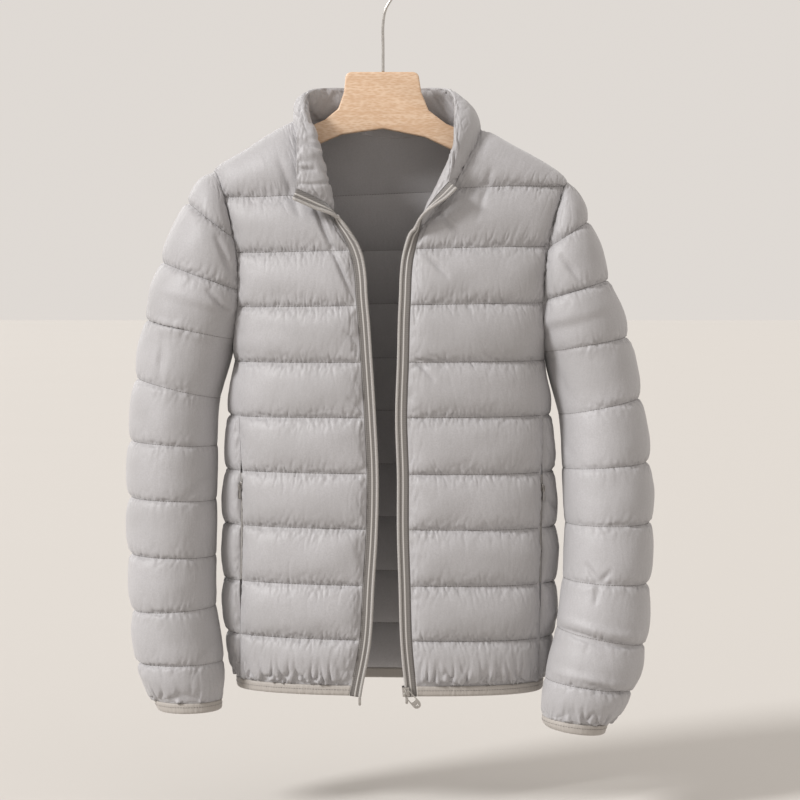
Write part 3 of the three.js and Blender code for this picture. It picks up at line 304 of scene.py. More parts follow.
def angleAtX(side, x, row):
    share = sideSign(side) * (x - jacket["centre"]) / body("half", row)
    return np.arccos(np.clip(share, 0, 1) ** jacket["power"])


def armAngle(side, row):
    row = np.asarray(row, float)
    return np.where(row < armpitRow[side], armholes[side]("angle", row), 0)


def bodyRowAtSleeve(side, row):
    rows = np.linspace(0, armpitRow[side], 400)
    return np.interp(row, armMap[side]("sleeve", rows), rows)


# A ring of the sleeve. Turn 0 is the front of the armhole, 1 the back of it.
def sleevePoint(side, turn, row):
    turn, row = np.broadcast_arrays(np.asarray(turn, float), np.asarray(row, float))
    read = {name: sleeves[side](name, row) for name in sleeveNames[1:]}
    onBody = bodyRowAtSleeve(side, np.minimum(row, jacket["sleeveArmpit"]))
    arm = armAngle(side, onBody)
    front = bodyPoint(frontAngle(side, arm), onBody)
    back = bodyPoint(backAngle(side, arm), onBody)
    above = row < jacket["sleeveArmpit"]
    inX = np.where(above, front[..., 0], read["inX"])
    inZ = np.where(above, front[..., 2], read["inZ"])
    half = np.where(above, (back[..., 1] - front[..., 1]) / 2, 0)
    mid = np.where(above, (back[..., 1] + front[..., 1]) / 2, read["mid"])
    nose = np.clip(row / 0.3, 0.01, 1) ** 0.5
    deep = np.maximum(read["deep"] * nose, half * 1.04)
    out = stack(read["outX"], 0, read["outZ"])
    axis = out - stack(inX, 0, inZ)
    reach = np.sqrt(np.maximum(0, 1 - (half / deep) ** 2))
    wide = length(axis) / (1 + reach)
    start = np.where(half > 0, np.arccos(np.clip(reach, 0, 1)), 0)
    angle = mix(start, 2 * math.pi - start, turn)
    point = out - unit(axis) * (wide * (1 + np.cos(angle)))[..., None]
    point[..., 1] = mid - deep * np.sin(angle)
    return point


def sleeveNormal(side, turn, row):
    inTurn = np.where(row < jacket["sleeveArmpit"], np.clip(turn, 0.004, 0.996), turn)
    around = sleevePoint(side, inTurn + 0.004, row) - sleevePoint(side, inTurn - 0.004, row)
    down = sleevePoint(side, turn, row + 0.02) - sleevePoint(side, turn, np.maximum(0.02, row - 0.02))
    return unit(np.cross(around, down) * -sideSign(side))


# Whole rows are stitch lines, and rows this close are the same
sameRow = 1e-6


def onLine(row):
    return np.isclose(row, np.round(row), atol=sameRow)


def fromRow(rows, first):
    return rows >= first - sameRow


def upToRow(rows, last):
    return rows <= last + sameRow


# Cross-section of a baffle between its two stitch lines
def baffle(row):
    row = np.asarray(row, float)
    return arch(row - np.floor(row + 1e-9))


# The sewing pulls the stitch lines a little below the panel's own surface
def quiltHeight(rise, row):
    pull = quilt["sink"] * onLine(row) * np.clip(rise / quilt["sinkRoom"], 0, 1)
    return quilt["fill"] * rise * baffle(row) - pull


def edgeFall(distance, run=jacket["edgeRun"]):
    s = np.clip(distance / run, 0, 1)
    return np.sqrt(1 - (1 - s) ** 2)


# Materials

def toLinear(code):
    values = [int(code[i:i + 2], 16) / 255 for i in (1, 3, 5)]
    return [v / 12.92 if v <= 0.04045 else ((v + 0.055) / 1.055) ** 2.4 for v in values] + [1]


# A link that names a whole node takes its first output
def addNode(material, kind, settings=None, links=None):
    tree = material.node_tree
    node = tree.nodes.new("ShaderNode" + kind)
    for name, value in (settings or {}).items():
        if isinstance(name, int) or name in node.inputs:
            node.inputs[name].default_value = value
        else:
            setattr(node, name, value)
    for name, source in (links or {}).items():
        if isinstance(source, bpy.types.Node):
            source = source.outputs[0]
        tree.links.new(source, node.inputs[name])
    return node


def startMaterial(name):
    material = bpy.data.materials.new(name)
    material.use_nodes = True
    material.node_tree.nodes.clear()
    return material, addNode(material, "TexCoord").outputs["Object"]


def endMaterial(material, settings, links):
    shader = addNode(material, "BsdfPrincipled", settings, links)
    addNode(material, "OutputMaterial", None, {"Surface": shader})
    return material


# Settings of a mix between two colours
def between(dark, light):
    return {"data_type": "RGBA", 6: toLinear(dark), 7: toLinear(light)}


# Scale of a noise with spots of so many millimetres
def perMm(size):
    return 1 / (size * mm)


# Scale of a wave whose bands repeat about each so many millimetres
def bandsPerMm(size):
    return perMm(size / 2) / 6.28


# Nylon taffeta, woven and calendered: a soft sheen that lies over small crinkles.
# The weave is 0.1 mm in the real cloth, drawn 1.6 mm here so that it shows.
nylon = {"lit": "#aba9ab", "deep": "#9f9d9e", "roughness": 0.52, "ior": 1.45, "sheen": 0.25,
         "weave": 1.6, "crinkle": 5, "shade": 70}


def nylonTaffeta():
    material, place = startMaterial("nylonTaffeta")
    at = {"Vector": place}
    shade = addNode(material, "TexNoise", {"Scale": perMm(nylon["shade"]), "Detail": 3}, at)
    fleck = addNode(material, "TexNoise", {"Scale": perMm(nylon["weave"]), "Detail": 2}, at)
    both = addNode(material, "Math", {"operation": "MULTIPLY"}, {0: shade, 1: fleck})
    share = addNode(material, "MapRange", {"From Min": 0.12, "From Max": 0.4}, {"Value": both})
    colour = addNode(material, "Mix", between(nylon["deep"], nylon["lit"]), {"Factor": share})
    bands = {"Scale": bandsPerMm(nylon["weave"]), "Distortion": 0.6}
    warp = addNode(material, "TexWave", {**bands, "bands_direction": "Z"}, at)
    weft = addNode(material, "TexWave", {**bands, "bands_direction": "DIAGONAL"}, at)
    threads = addNode(material, "Math", {"operation": "ADD"},
                      {0: warp.outputs["Fac"], 1: weft.outputs["Fac"]})
    fine = addNode(material, "Bump", {"Strength": 0.12, "Distance": 0.1 * mm}, {"Height": threads})
    tall = addNode(material, "Mapping", {"Scale": (1, 1, 0.28)}, at)
    crinkle = addNode(material, "TexNoise", {"Scale": perMm(nylon["crinkle"]), "Detail": 4, "Roughness": 0.6},
                      {"Vector": tall})
    soft = addNode(material, "Bump", {"Strength": 0.45, "Distance": 0.8 * mm},
                   {"Height": crinkle, "Normal": fine})
    rough = addNode(material, "MapRange", {"To Min": nylon["roughness"] - 0.06,
                                           "To Max": nylon["roughness"] + 0.08}, {"Value": crinkle})
    sheen = {"IOR": nylon["ior"], "Sheen Weight": nylon["sheen"], "Sheen Roughness": 0.5}
    return endMaterial(material, sheen, {"Base Color": colour.outputs[2], "Roughness": rough, "Normal": soft})


# Polyester and nylon goods with a visible rib or weave: matt; the rib crests are painted lighter as a painted
# highlight, mixed with fibre tone that varies at random.
# Ribs and twists are drawn 1.2 to 2.4 mm wide, about twice as coarse as real ones, so that they show.
# Each: light colour of the rib crests (a painted highlight) and dark colour, width of a rib, the way the ribs
# follow each other, roughness
ribbed = {
    # Knitted elastic, folded over the edge: fine upright ribs
    "knittedElastic": ("#b4aea8", "#a39d97", 1.8, "X", 0.62),
    # Woven polyester zip tape: a close rib, darker than the cloth
    "wovenZipTape": ("#837f7c", "#6b6764", 2.4, "Z", 0.7),
    # Nylon coil and raised band: paler and a little shinier
    "nylonCoil": ("#c6c3c0", "#a9a5a1", 1.8, "Z", 0.42),
    # Spun polyester thread, twisted, coloured darker than the cloth as painted shade of the stitch grooves it
    # lies in
    "spunThreadPaintedShade": ("#7d7875", "#625d5a", 1.2, "DIAGONAL", 0.6),
}
fibreSize = 1.2  # fuzz of the fibres, drawn as coarse as it needs to show


def ribbedCloth(name):
    light, dark, rib, direction, roughness = ribbed[name]
    material, place = startMaterial(name)
    ribs = addNode(material, "TexWave", {"Scale": bandsPerMm(rib), "Distortion": 0.8, "Detail": 2,
                                         "bands_direction": direction}, {"Vector": place})
    fibre = addNode(material, "TexNoise", {"Scale": perMm(fibreSize), "Detail": 4}, {"Vector": place})
    # The blend paints the raised rib crests in the light colour: a painted highlight, mixed with random fibre
    # tone
    blend = addNode(material, "Math", {"operation": "MULTIPLY"}, {0: ribs.outputs["Fac"], 1: fibre})
    colour = addNode(material, "Mix", between(dark, light), {"Factor": blend})
    bump = addNode(material, "Bump", {"Strength": 0.5, "Distance": 0.25 * mm}, {"Height": blend})
    return endMaterial(material, {"Roughness": roughness, "IOR": 1.5, "Sheen Weight": 0.15},
                       {"Base Color": colour.outputs[2], "Normal": bump})


# Zinc alloy, die cast, tumbled and nickel plated: soft bright highlights with fine scuffs.
# The hook's steel wire is drawn and has the same plating.
zinc = {"bright": "#cbc8c4", "worn": "#9f9b97", "roughness": 0.27, "scuff": 3}


def nickelPlated(name):
    material, place = startMaterial(name)
    scuff = addNode(material, "TexNoise", {"Scale": perMm(zinc["scuff"]), "Detail": 5}, {"Vector": place})
    colour = addNode(material, "Mix", between(zinc["worn"], zinc["bright"]), {"Factor": scuff})
    rough = addNode(material, "MapRange", {"To Min": zinc["roughness"] - 0.08,
                                           "To Max": zinc["roughness"] + 0.14}, {"Value": scuff})
    bump = addNode(material, "Bump", {"Strength": 0.15, "Distance": 0.1 * mm}, {"Height": scuff})
    return endMaterial(material, {"Metallic": 1},
                       {"Base Color": colour.outputs[2], "Roughness": rough, "Normal": bump})


# Beech, planed and lacquered: long grain along the board with short dark flecks.
# The flecks are 0.5 mm wide in real beech, drawn 1.6 mm here so that they show.
beech = {"light": "#d9bda2", "dark": "#c8a585", "grain": 5, "fleck": 1.6, "roughness": 0.42}


def lacqueredBeech():
    material, place = startMaterial("lacqueredBeech")
    along = addNode(material, "Mapping", {"Scale": (0.05, 1, 1)}, {"Vector": place})
    grain = addNode(material, "TexNoise", {"Scale": perMm(beech["grain"]), "Detail": 6, "Distortion": 0.7},
                    {"Vector": along})
    short = addNode(material, "Mapping", {"Scale": (0.25, 1, 1)}, {"Vector": place})
    fleck = addNode(material, "TexVoronoi", {"Scale": perMm(beech["fleck"])}, {"Vector": short})
    blend = addNode(material, "Math", {"operation": "MULTIPLY"}, {0: grain, 1: fleck})
    share = addNode(material, "MapRange", {"From Min": 0.1, "From Max": 0.42}, {"Value": blend})
    colour = addNode(material, "Mix", between(beech["dark"], beech["light"]), {"Factor": share})
    bump = addNode(material, "Bump", {"Strength": 0.12, "Distance": 0.15 * mm}, {"Height": grain})
    return endMaterial(material, {"Roughness": beech["roughness"], "IOR": 1.5, "Coat Weight": 0.25,
                                  "Coat Roughness": 0.2}, {"Base Color": colour.outputs[2], "Normal": bump})


finish = {
    "nylon": nylonTaffeta(),
    "elastic": ribbedCloth("knittedElastic"),
    "tape": ribbedCloth("wovenZipTape"),
    "coil": ribbedCloth("nylonCoil"),
    "thread": ribbedCloth("spunThreadPaintedShade"),
    "zinc": nickelPlated("platedZinc"),
    "wire": nickelPlated("drawnSteelWire"),
    "beech": lacqueredBeech(),
}
print("materials are mixed")


# Meshes

# A closed shell of sheets joined by strips
class Shell:
    def __init__(self):
        self.points = []
        self.facts = []
        self.faces = []
        self.count = 0

    # Facts are four numbers for each point: sewn down, room for down in millimetres, distance to a seam,
    # and how much the cloth is gathered there, 0 on the inside
    def sheet(self, points, facts, weld=None, hole=None):
        columns, rows = points.shape[:2]
        ids = self.count + np.arange(columns * rows).reshape(columns, rows)
        self.points.append(points.reshape(-1, 3))
        self.facts.append(np.stack([np.broadcast_to(f, (columns, rows)) for f in facts], -1).reshape(-1, 4))
        self.count += columns * rows
        if weld is not None:
            ids = weld(ids)
        for i in range(columns - 1):
            for j in range(rows - 1):
                if hole is None or not hole[i, j]:
                    self.face([ids[i, j], ids[i + 1, j], ids[i + 1, j + 1], ids[i, j + 1]])
        return ids

    def face(self, corners):
        kept = [int(c) for i, c in enumerate(corners) if c not in corners[:i]]
        if len(kept) > 2:
            self.faces.append(kept)

    # A strip between two lines of points, by their places
    def bridge(self, a, aPlaces, b, bPlaces):
        i = j = 0
        while i < len(a) - 1 or j < len(b) - 1:
            nextA = aPlaces[i + 1] if i < len(a) - 1 else math.inf
            nextB = bPlaces[j + 1] if j < len(b) - 1 else math.inf
            if nextA <= nextB:
                self.face([a[i], b[j], a[i + 1]])
                i += 1
            else:
                self.face([b[j], b[j + 1], a[i]])
                j += 1

    def build(self, name, material, body="jacket"):
        points = np.concatenate(self.points)
        facts = np.concatenate(self.facts)
        used = np.unique(np.concatenate([np.array(f) for f in self.faces]))
        renumber = np.full(len(points), -1)
        renumber[used] = np.arange(len(used))
        faces = [[int(renumber[c]) for c in f] for f in self.faces]
        piece = newPiece(name, points[used], faces, material, body)
        return piece, facts[used]


def newPiece(name, points, faces, material, body="jacket"):
    mesh = bpy.data.meshes.new(name)
    mesh.from_pydata((np.asarray(points) * mm).tolist(), [], faces)
    tidy = bmesh.new()
    tidy.from_mesh(mesh)
    bmesh.ops.recalc_face_normals(tidy, faces=tidy.faces)
    tidy.to_mesh(mesh)
    tidy.free()
    mesh.shade_smooth()
    mesh.materials.append(material)
    piece = bpy.data.objects.new(name, mesh)
    bpy.context.collection.objects.link(piece)
    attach(piece, body)
    return piece


# Points of a closed section carried along stations, with flat ends
def sweep(section, points, wide, thick):
    section = np.asarray(section, float)
    rings = points[:, None] + wide[:, None] * section[None, :, :1] + thick[:, None] * section[None, :, 1:]
    count, corners = len(points), len(section)
    ids = np.arange(count * corners).reshape(count, corners)
    faces = []
    for i in range(count - 1):
        for k in range(corners):
            n = (k + 1) % corners
            faces.append([int(ids[i, k]), int(ids[i, n]), int(ids[i + 1, n]), int(ids[i + 1, k])])
    faces.append([int(v) for v in ids[0]])
    faces.append([int(v) for v in ids[-1][::-1]])
    return rings.reshape(-1, 3), faces


# Many copies of one small mesh in one piece, each with its own frame
def scatter(template, faces, places, x, y, z):
    count = len(template)
    points = (places[:, None] + x[:, None] * template[None, :, :1] + y[:, None] * template[None, :, 1:2]
              + z[:, None] * template[None, :, 2:])
    every = [[int(c) + count * k for c in f] for k in range(len(places)) for f in faces]
    return points.reshape(-1, 3), every


# Rows of a panel: close together at the stitch lines, wider in the middle of a baffle
def rowPlaces(first, last, count, extra=None):
    share = np.arange(count) / count
    share = 0.55 * share + 0.45 * (0.5 - 0.5 * np.cos(math.pi * share))
    rows = np.append((np.arange(first, last)[:, None] + share).ravel(), last)
    if extra is not None:
        rows[np.argmin(np.abs(rows - extra))] = extra
    return rows


# Places spaced evenly along a curve
def evenPlaces(curve, first, last, count):
    dense = np.linspace(first, last, 500)
    run = runAlong(curve(dense))
    return np.interp(np.linspace(0, run[-1], count + 1), run, dense)


# Loft, stitch lines and mesh columns of the panels. Two seam distances are marks: liningLine for a point on
# a stitch line of the lining, and far for one that is near no seam.
quilt = {"rows": 13, "fill": 0.84, "sink": 1.3, "sinkRoom": 4, "insideLoft": 2.2, "backInside": 3.4,
         "sleeveInside": 1.32, "liningLine": 98, "far": 99, "bodyColumns": 66, "sleeveColumns": 92,
         "backColumns": 112, "flankColumns": {"right": 20, "left": 15}}
lining = (1, 0, quilt["far"], 0)
padded = []
stitchLines = []


def nearestSeam(points, rows):
    lines = points[:, onLine(rows)]
    size = np.full(points.shape[:2], float(quilt["far"]))
    for k in range(lines.shape[1]):
        size = np.minimum(size, length(points - lines[:, k:k + 1]))
    return size


# True all round the edge of a sheet
def sheetEdge(points):
    edge = np.zeros(points.shape[:2], bool)
    edge[[0, -1]] = True
    edge[:, [0, -1]] = True
    return edge


# Rows of the inside: every stitch line and a few places between two of them
def insidePlaces(first, steps, extra=()):
    between = [np.arange(first, 10) + s for s in steps]
    return np.sort(np.concatenate([np.arange(first, 11), *between, extra]))


def everyFew(count, step, extra=0):
    return np.unique([*range(0, count, step), count - 1, extra])


# Lines for the sewing thread, one along each stitch line of a panel
def keepStitchLines(points, normals, rows, split=None):
    for j in np.where(onLine(rows))[0][1:-1]:
        last = split + 1 if split and fromRow(rows[j], jacket["pocketTop"]) else None
        stitchLines.append((points[:last, j], normals[:last, j]))


# Rows between which the pocket seam opens for its zip, and how fast it opens and closes
pocketSeam = {"opens": 5.82, "openRun": 0.18, "closes": 8.5, "closeRun": 0.32}


# Half of the gap at the pocket seam
def pocketGap(row):
    isOpen = np.clip((row - pocketSeam["opens"]) / pocketSeam["openRun"], 0, 1)
    isOpen = isOpen * np.clip((pocketSeam["closes"] - row) / pocketSeam["closeRun"], 0, 1)
    return mix(jacket["gap"] * 0.8, jacket["pocketSlot"], isOpen)


def towards(points, others, size):
    return points + unit(others - points) * np.asarray(size)[..., None]


# Ring angle of a column of the front: place 0 to 1 is zip to pocket seam, 1 to 2 is on to the side seam
def frontColumn(side, place, row):
    edge = angleAtX(side, edges(side, row), row)
    end = armAngle(side, row)
    at = np.maximum(row, jacket["pocketTop"])
    pocket = angleAtX(side, pockets(side, at), at)
    topEdge = angleAtX(side, edges(side, jacket["pocketTop"]), jacket["pocketTop"])
    share = (topEdge - pocket) / topEdge
    pocket = np.where(row < jacket["pocketTop"], mix(edge, end, share), pocket)
    return np.where(place <= 1, mix(edge, pocket, place), mix(pocket, end, place - 1))


def frontPoint(side, place, row):
    return bodyPoint(frontAngle(side, frontColumn(side, place, row)), row)


def shortBaffle(tall):
    return np.clip(tall / jacket["fullBaffle"], 0, 1)


def armpitFall(side, points):
    armpit = bodyPoint(frontAngle(side, 0), armpitRow[side])
    return np.clip((length(points - armpit) - jacket["armpitFlat"]) / jacket["armpitRun"], 0, 1)


# The loft falls over a longer way at the side seam than at the armhole
def sideRun(side, row):
    return np.where(row > armpitRow[side] - 0.4, jacket["sideRun"], jacket["edgeRun"])


# Cloth is drawn in more just above the hem and the cuffs, from this row on
gatherRows = {"first": 9.2, "run": 0.7, "more": 0.9, "power": 1.3}


def gathered(row):
    share = np.clip((row - gatherRows["first"]) / gatherRows["run"], 0, 1)
    return 1 + gatherRows["more"] * share ** gatherRows["power"]


# A front, or the strip beside it. Inward is the way from the pocket seam into the panel.
def frontSurface(side, columns, rows, inward, inside=False):
    place, row = np.meshgrid(columns, rows, indexing="ij")
    angle = frontAngle(side, frontColumn(side, place, row))
    points, normals = bodyPoint(angle, row), bodyNormal(angle, row)
    toEdge, toPocket, toSide = (length(points - frontPoint(side, end, row)) for end in (0, 1, 2))
    hasPocket = fromRow(row, jacket["pocketTop"])
    fall = edgeFall(toEdge) * edgeFall(toSide, sideRun(side, row))
    fall *= np.where(hasPocket, edgeFall(toPocket), 1)
    top = np.minimum(np.floor(row + sameRow), 9)
    tall = length(bodyPoint(angle, top) - bodyPoint(angle, top + 1))
    fall *= armpitFall(side, points) * shortBaffle(tall)
    seam = np.minimum(np.minimum(toEdge, toSide), np.where(hasPocket, toPocket, quilt["far"]))
    onPocket = np.isclose(place, 1) & hasPocket
    within = frontPoint(side, place + inward, row)
    points = np.where(onPocket[..., None], towards(points, within, pocketGap(row)), points)
    rise = jacket["bodyLoft"] * fall
    height = quiltHeight(rise, row)
    if inside:
        height = -jacket["wall"] - quilt["insideLoft"] * baffle(row) * fall
    return points + normals * height[..., None], normals, rise, seam


# Split is the column of the pocket seam: the front reaches past it only above the pocket's top
def quiltedFront(side, name, columns, first, split=None):
    shell = Shell()
    pocketTop = jacket["pocketTop"]
    inward = -0.05 if split else 0.05

    def hole(columns, rows):
        return (columns[:-1, None] >= 1 - sameRow) & fromRow(rows[None, :-1], pocketTop) if split else None

    rows = rowPlaces(first, 10, quilt["rows"])
    points, normals, rise, seam = frontSurface(side, columns, rows, inward)
    keepStitchLines(points, normals, rows, split)
    seam = np.minimum(seam, nearestSeam(points, rows))
    pinned = sheetEdge(points) | onLine(rows)
    if split:
        pinned[split:, fromRow(rows, pocketTop)] = True
    outer = shell.sheet(points, (pinned, rise, seam, gathered(rows)), hole=hole(columns, rows))
    inRows = insidePlaces(first, (0.2, 0.5, 0.8))
    keep = everyFew(len(columns), 4, split or 0)
    inColumns = columns[keep]
    inPoints = frontSurface(side, inColumns, inRows, inward, True)[0]
    inner = shell.sheet(inPoints, lining, hole=hole(inColumns, inRows))
    shell.bridge(outer[0], rows, inner[0], inRows)
    if split:
        cut = list(keep).index(split)
        top, inTop = upToRow(rows, pocketTop), upToRow(inRows, pocketTop)
        low, inLow = fromRow(rows, pocketTop), fromRow(inRows, pocketTop)
        corner, inCorner = np.where(top)[0][-1], np.where(inTop)[0][-1]
        shell.bridge(outer[-1][top], rows[top], inner[-1][inTop], inRows[inTop])
        shell.bridge(outer[split:, corner], columns[split:], inner[cut:, inCorner], inColumns[cut:])
        shell.bridge(outer[split][low], rows[low], inner[cut][inLow], inRows[inLow])
        shell.bridge(outer[:split + 1, -1], columns[:split + 1], inner[:cut + 1, -1], inColumns[:cut + 1])
    else:
        shell.bridge(outer[-1], rows, inner[-1], inRows)
        shell.bridge(outer[:, -1], columns, inner[:, -1], inColumns)
    shell.bridge(outer[:, 0], columns, inner[:, 0], inColumns)
    padded.append((*shell.build(name + "_quilt", finish["nylon"]), name))


def quiltedFronts(side):
    def belt(place):
        return frontPoint(side, place, 7.0)

    front = evenPlaces(belt, 0, 1, quilt["bodyColumns"])
    flank = evenPlaces(belt, 1, 2, quilt["flankColumns"][side])
    quiltedFront(side, f"front_{side}", np.concatenate([front, flank[1:]]), 0, len(front) - 1)
    quiltedFront(side, f"side_{side}", flank, jacket["pocketTop"])


# Shares of the way round the back, right side seam to left side seam
def backNeckShare(side):
    start, end = math.pi - armAngle("right", 0), armAngle("left", 0)
    angle = backAngle(side, angleAtX(side, edges(side, 0), 0))
    return float((start - angle) / (start - end))


backNeck = [backNeckShare(side) for side in sides]


# How many rows the neck is cut down into the back
def backTop(share):
    s = (share - backNeck[0]) / (backNeck[1] - backNeck[0])
    return np.where((s > 0) & (s < 1), jacket["backNeckDeep"] * arch(s), 0)


def backPlace(share, row):
    return mix(math.pi - armAngle("right", row), armAngle("left", row), share)


def backSurface(columns, rows, inside=False):
    share, level = np.meshgrid(columns, rows, indexing="ij")
    start = backTop(share)
    row = np.where(level < 1, start + (1 - start) * level, level)
    angle = backPlace(share, row)
    points, normals = bodyPoint(angle, row), bodyNormal(angle, row)
    ends = [length(points - bodyPoint(backPlace(end, row), row)) for end in (0, 1)]
    fall = armpitFall("right", points) * armpitFall("left", points)
    for end in ends:
        fall = fall * edgeFall(end, sideRun("right", row))
    top = np.minimum(np.floor(level + sameRow), 9)
    tall = length(bodyPoint(angle, np.maximum(top, start)) - bodyPoint(angle, top + 1))
    fall = fall * shortBaffle(tall)
    rise = jacket["bodyLoft"] * fall
    height = quiltHeight(rise, level)
    if inside:
        height = -jacket["wall"] - quilt["backInside"] * baffle(level) * fall
    return points + normals * height[..., None], normals, rise, np.minimum(*ends)


def quiltedBack():
    shell = Shell()
    columns = evenPlaces(lambda share: bodyPoint(backPlace(share, 6.0), 6.0), 0, 1, quilt["backColumns"])
    rows = rowPlaces(0, 10, quilt["rows"])
    points, normals, rise, seam = backSurface(columns, rows)
    keepStitchLines(points, normals, rows)
    seam = np.minimum(seam, nearestSeam(points, rows))
    outer = shell.sheet(points, (sheetEdge(points) | onLine(rows), rise, seam, gathered(rows)))
    inRows = insidePlaces(0, (0.12, 0.3, 0.5, 0.7, 0.88))
    inColumns = columns[everyFew(len(columns), 3)]
    inPoints, inNormals = backSurface(inColumns, inRows, True)[:2]
    keepStitchLines(inPoints, -inNormals, inRows)
    inSeam = np.where(onLine(inRows), quilt["liningLine"], quilt["far"])
    inner = shell.sheet(inPoints, (1, 0, inSeam, 0))
    shell.bridge(outer[0], rows, inner[0], inRows)
    shell.bridge(outer[-1], rows, inner[-1], inRows)
    shell.bridge(outer[:, 0], columns, inner[:, 0], inColumns)
    shell.bridge(outer[:, -1], columns, inner[:, -1], inColumns)
    padded.append((*shell.build("back_quilt", finish["nylon"]), "back"))


# The sleeve lofts less towards the body, where it hangs against it: least on the upper arm
innerArm = {"capRun": 0.35, "fromRow": 2.5, "elbowRow": 5, "upper": 0.95, "lower": 0.75}


def sleeveSurface(side, turns, rows, inside=False):
    turn, row = np.meshgrid(turns, rows, indexing="ij")
    points, normals = sleevePoint(side, turn, row), sleeveNormal(side, turn, np.maximum(row, 0.05))
    ends = [length(points - sleevePoint(side, float(end), row)) for end in (0, 1)]
    above = row < jacket["sleeveArmpit"]
    fall = np.where(above, edgeFall(ends[0]) * edgeFall(ends[1]), 1)
    fall = fall * np.where(above, np.clip(row / innerArm["capRun"], 0, 1), 1)
    inward = 0.5 + 0.5 * np.cos(2 * math.pi * turn)
    near = np.where(row < innerArm["elbowRow"], innerArm["upper"], innerArm["lower"])
    fall = fall * np.where(row > innerArm["fromRow"], 1 - near * inward, 1)
    seam = np.where(above, np.minimum(*ends), quilt["far"])
    rise = jacket["sleeveLoft"] * fall
    height = quiltHeight(rise, row)
    if inside:
        height = -jacket["wall"] - quilt["sleeveInside"] * baffle(row)
    return points + normals * height[..., None], normals, rise, seam


def quiltedSleeve(side):
    shell = Shell()
    armpit = jacket["sleeveArmpit"]
    turns = evenPlaces(lambda turn: sleevePoint(side, turn, 6.0), 0, 1, quilt["sleeveColumns"])

    # Below the armpit the sleeve is a tube, and its top row is one point
    def tube(rows):
        def weld(ids):
            ids = ids.copy()
            ids[-1, fromRow(rows, armpit)] = ids[0, fromRow(rows, armpit)]
            ids[:, 0] = ids[0, 0]
            return ids
        return weld

    rows = rowPlaces(0, 10, quilt["rows"], extra=armpit)
    points, normals, rise, seam = sleeveSurface(side, turns, rows)
    keepStitchLines(points, normals, rows)
    seam = np.minimum(seam, nearestSeam(points, rows))
    pinned = np.zeros(points.shape[:2], bool)
    pinned[[0, -1]] = upToRow(rows, armpit)
    pinned[:, onLine(rows)] = True
    outer = shell.sheet(points, (pinned, rise, seam, gathered(rows)), weld=tube(rows))
    inRows = insidePlaces(0, (0.5,), [armpit])
    inTurns = turns[::4]
    inPoints = sleeveSurface(side, inTurns, inRows, True)[0]
    inner = shell.sheet(inPoints, lining, weld=tube(inRows))
    top, inTop = upToRow(rows, armpit), upToRow(inRows, armpit)
    for end in (0, -1):
        shell.bridge(outer[end][top], rows[top], inner[end][inTop], inRows[inTop])
    shell.bridge(outer[:, -1], turns, inner[:, -1], inTurns)
    padded.append((*shell.build(f"sleeve_{side}_quilt", finish["nylon"]), f"sleeve_{side}"))


# The neck seam, right end to left end: its places, points in the middle of the body's wall, and the way
# out of the body's cloth
def neckSeam():
    seam = []

    def add(place, angle, row, way):
        point = bodyPoint(angle, row) - bodyNormal(angle, row) * jacket["wall"] / 2
        seam.append((place, point, way / np.linalg.norm(way)))

    for side in sides:
        knots = readTable(["row", "place"], [[0, 3], [0.5, 2], [1, 1], [neckRow[side], 0]])
        for row in np.linspace(0.12, neckRow[side], 14):
            edge = angleAtX(side, edges(side, row), row)
            angle = frontAngle(side, edge)
            beyond = bodyPoint(frontAngle(side, edge + 0.05), row)
            place = float(knots("place", row))
            add(place if side == "right" else 10 - place, angle, row, beyond - bodyPoint(angle, row))
    for s in np.linspace(0, 1, 13):
        share = mix(*backNeck, s)
        row = float(backTop(share))
        angle = backPlace(share, row)
        add(3 + 4 * s, angle, row, bodyPoint(angle, row) - bodyPoint(angle, row + 0.08))
    seam.sort(key=lambda item: item[0])
    return [np.array(column) for column in zip(*seam)]


seamPlaces, seamPoints, seamWays = neckSeam()


# Collar. Its right end hangs looser, fuller and more crumpled, and leans in towards the neck.
# Places run 0 to 10 along the neck seam; the tuck sinks its foot into the seam.
collar = {"columns": 141, "rows": 27, "loft": 4, "endLong": 45, "tuck": 2.6, "tuckTall": 0.06,
          "lean": 14, "leanFrom": 0.3, "leanRun": 2.7, "looseTo": 3.8, "looseRun": 2, "looseLoft": 0.7,
          "looseCrumple": 0.4}


# Middle of the collar. Height 0 is the neck seam, 1 the top edge.
def collarPoint(place, height):
    place, height = np.broadcast_arrays(np.asarray(place, float), np.asarray(height, float))
    top = readPoint(collarTop, ("x", "y", "z"), place)
    roll = readPoint(collarTop, ("rollX", "rollY", "rollZ"), place)
    away = unit(readRun(place, seamPlaces, seamWays))
    facing = np.clip(dot(unit(roll), away), 0, 1)
    start = readRun(place, seamPlaces, seamPoints)
    start = start + unit(roll) * 0.5 + away * (0.5 + 1.6 * (1 - facing))[..., None]
    lean = np.sin(np.clip((place - collar["leanFrom"]) / collar["leanRun"], 0, 1) * math.pi)
    middle = start + roll + stack(collar["lean"] * lean, 0, 0)
    h = height[..., None]
    return mix(mix(start, middle, h), mix(middle, top, h), h)


def collarNormal(place, height):
    after, before = np.clip(place + 0.05, 0, 10), np.clip(place - 0.05, 0, 10)
    over, under = np.clip(height + 0.02, 0, 1), np.clip(height - 0.02, 0, 1)
    way = collarPoint(after, height) - collarPoint(before, height)
    return unit(np.cross(way, collarPoint(place, over) - collarPoint(place, under)))


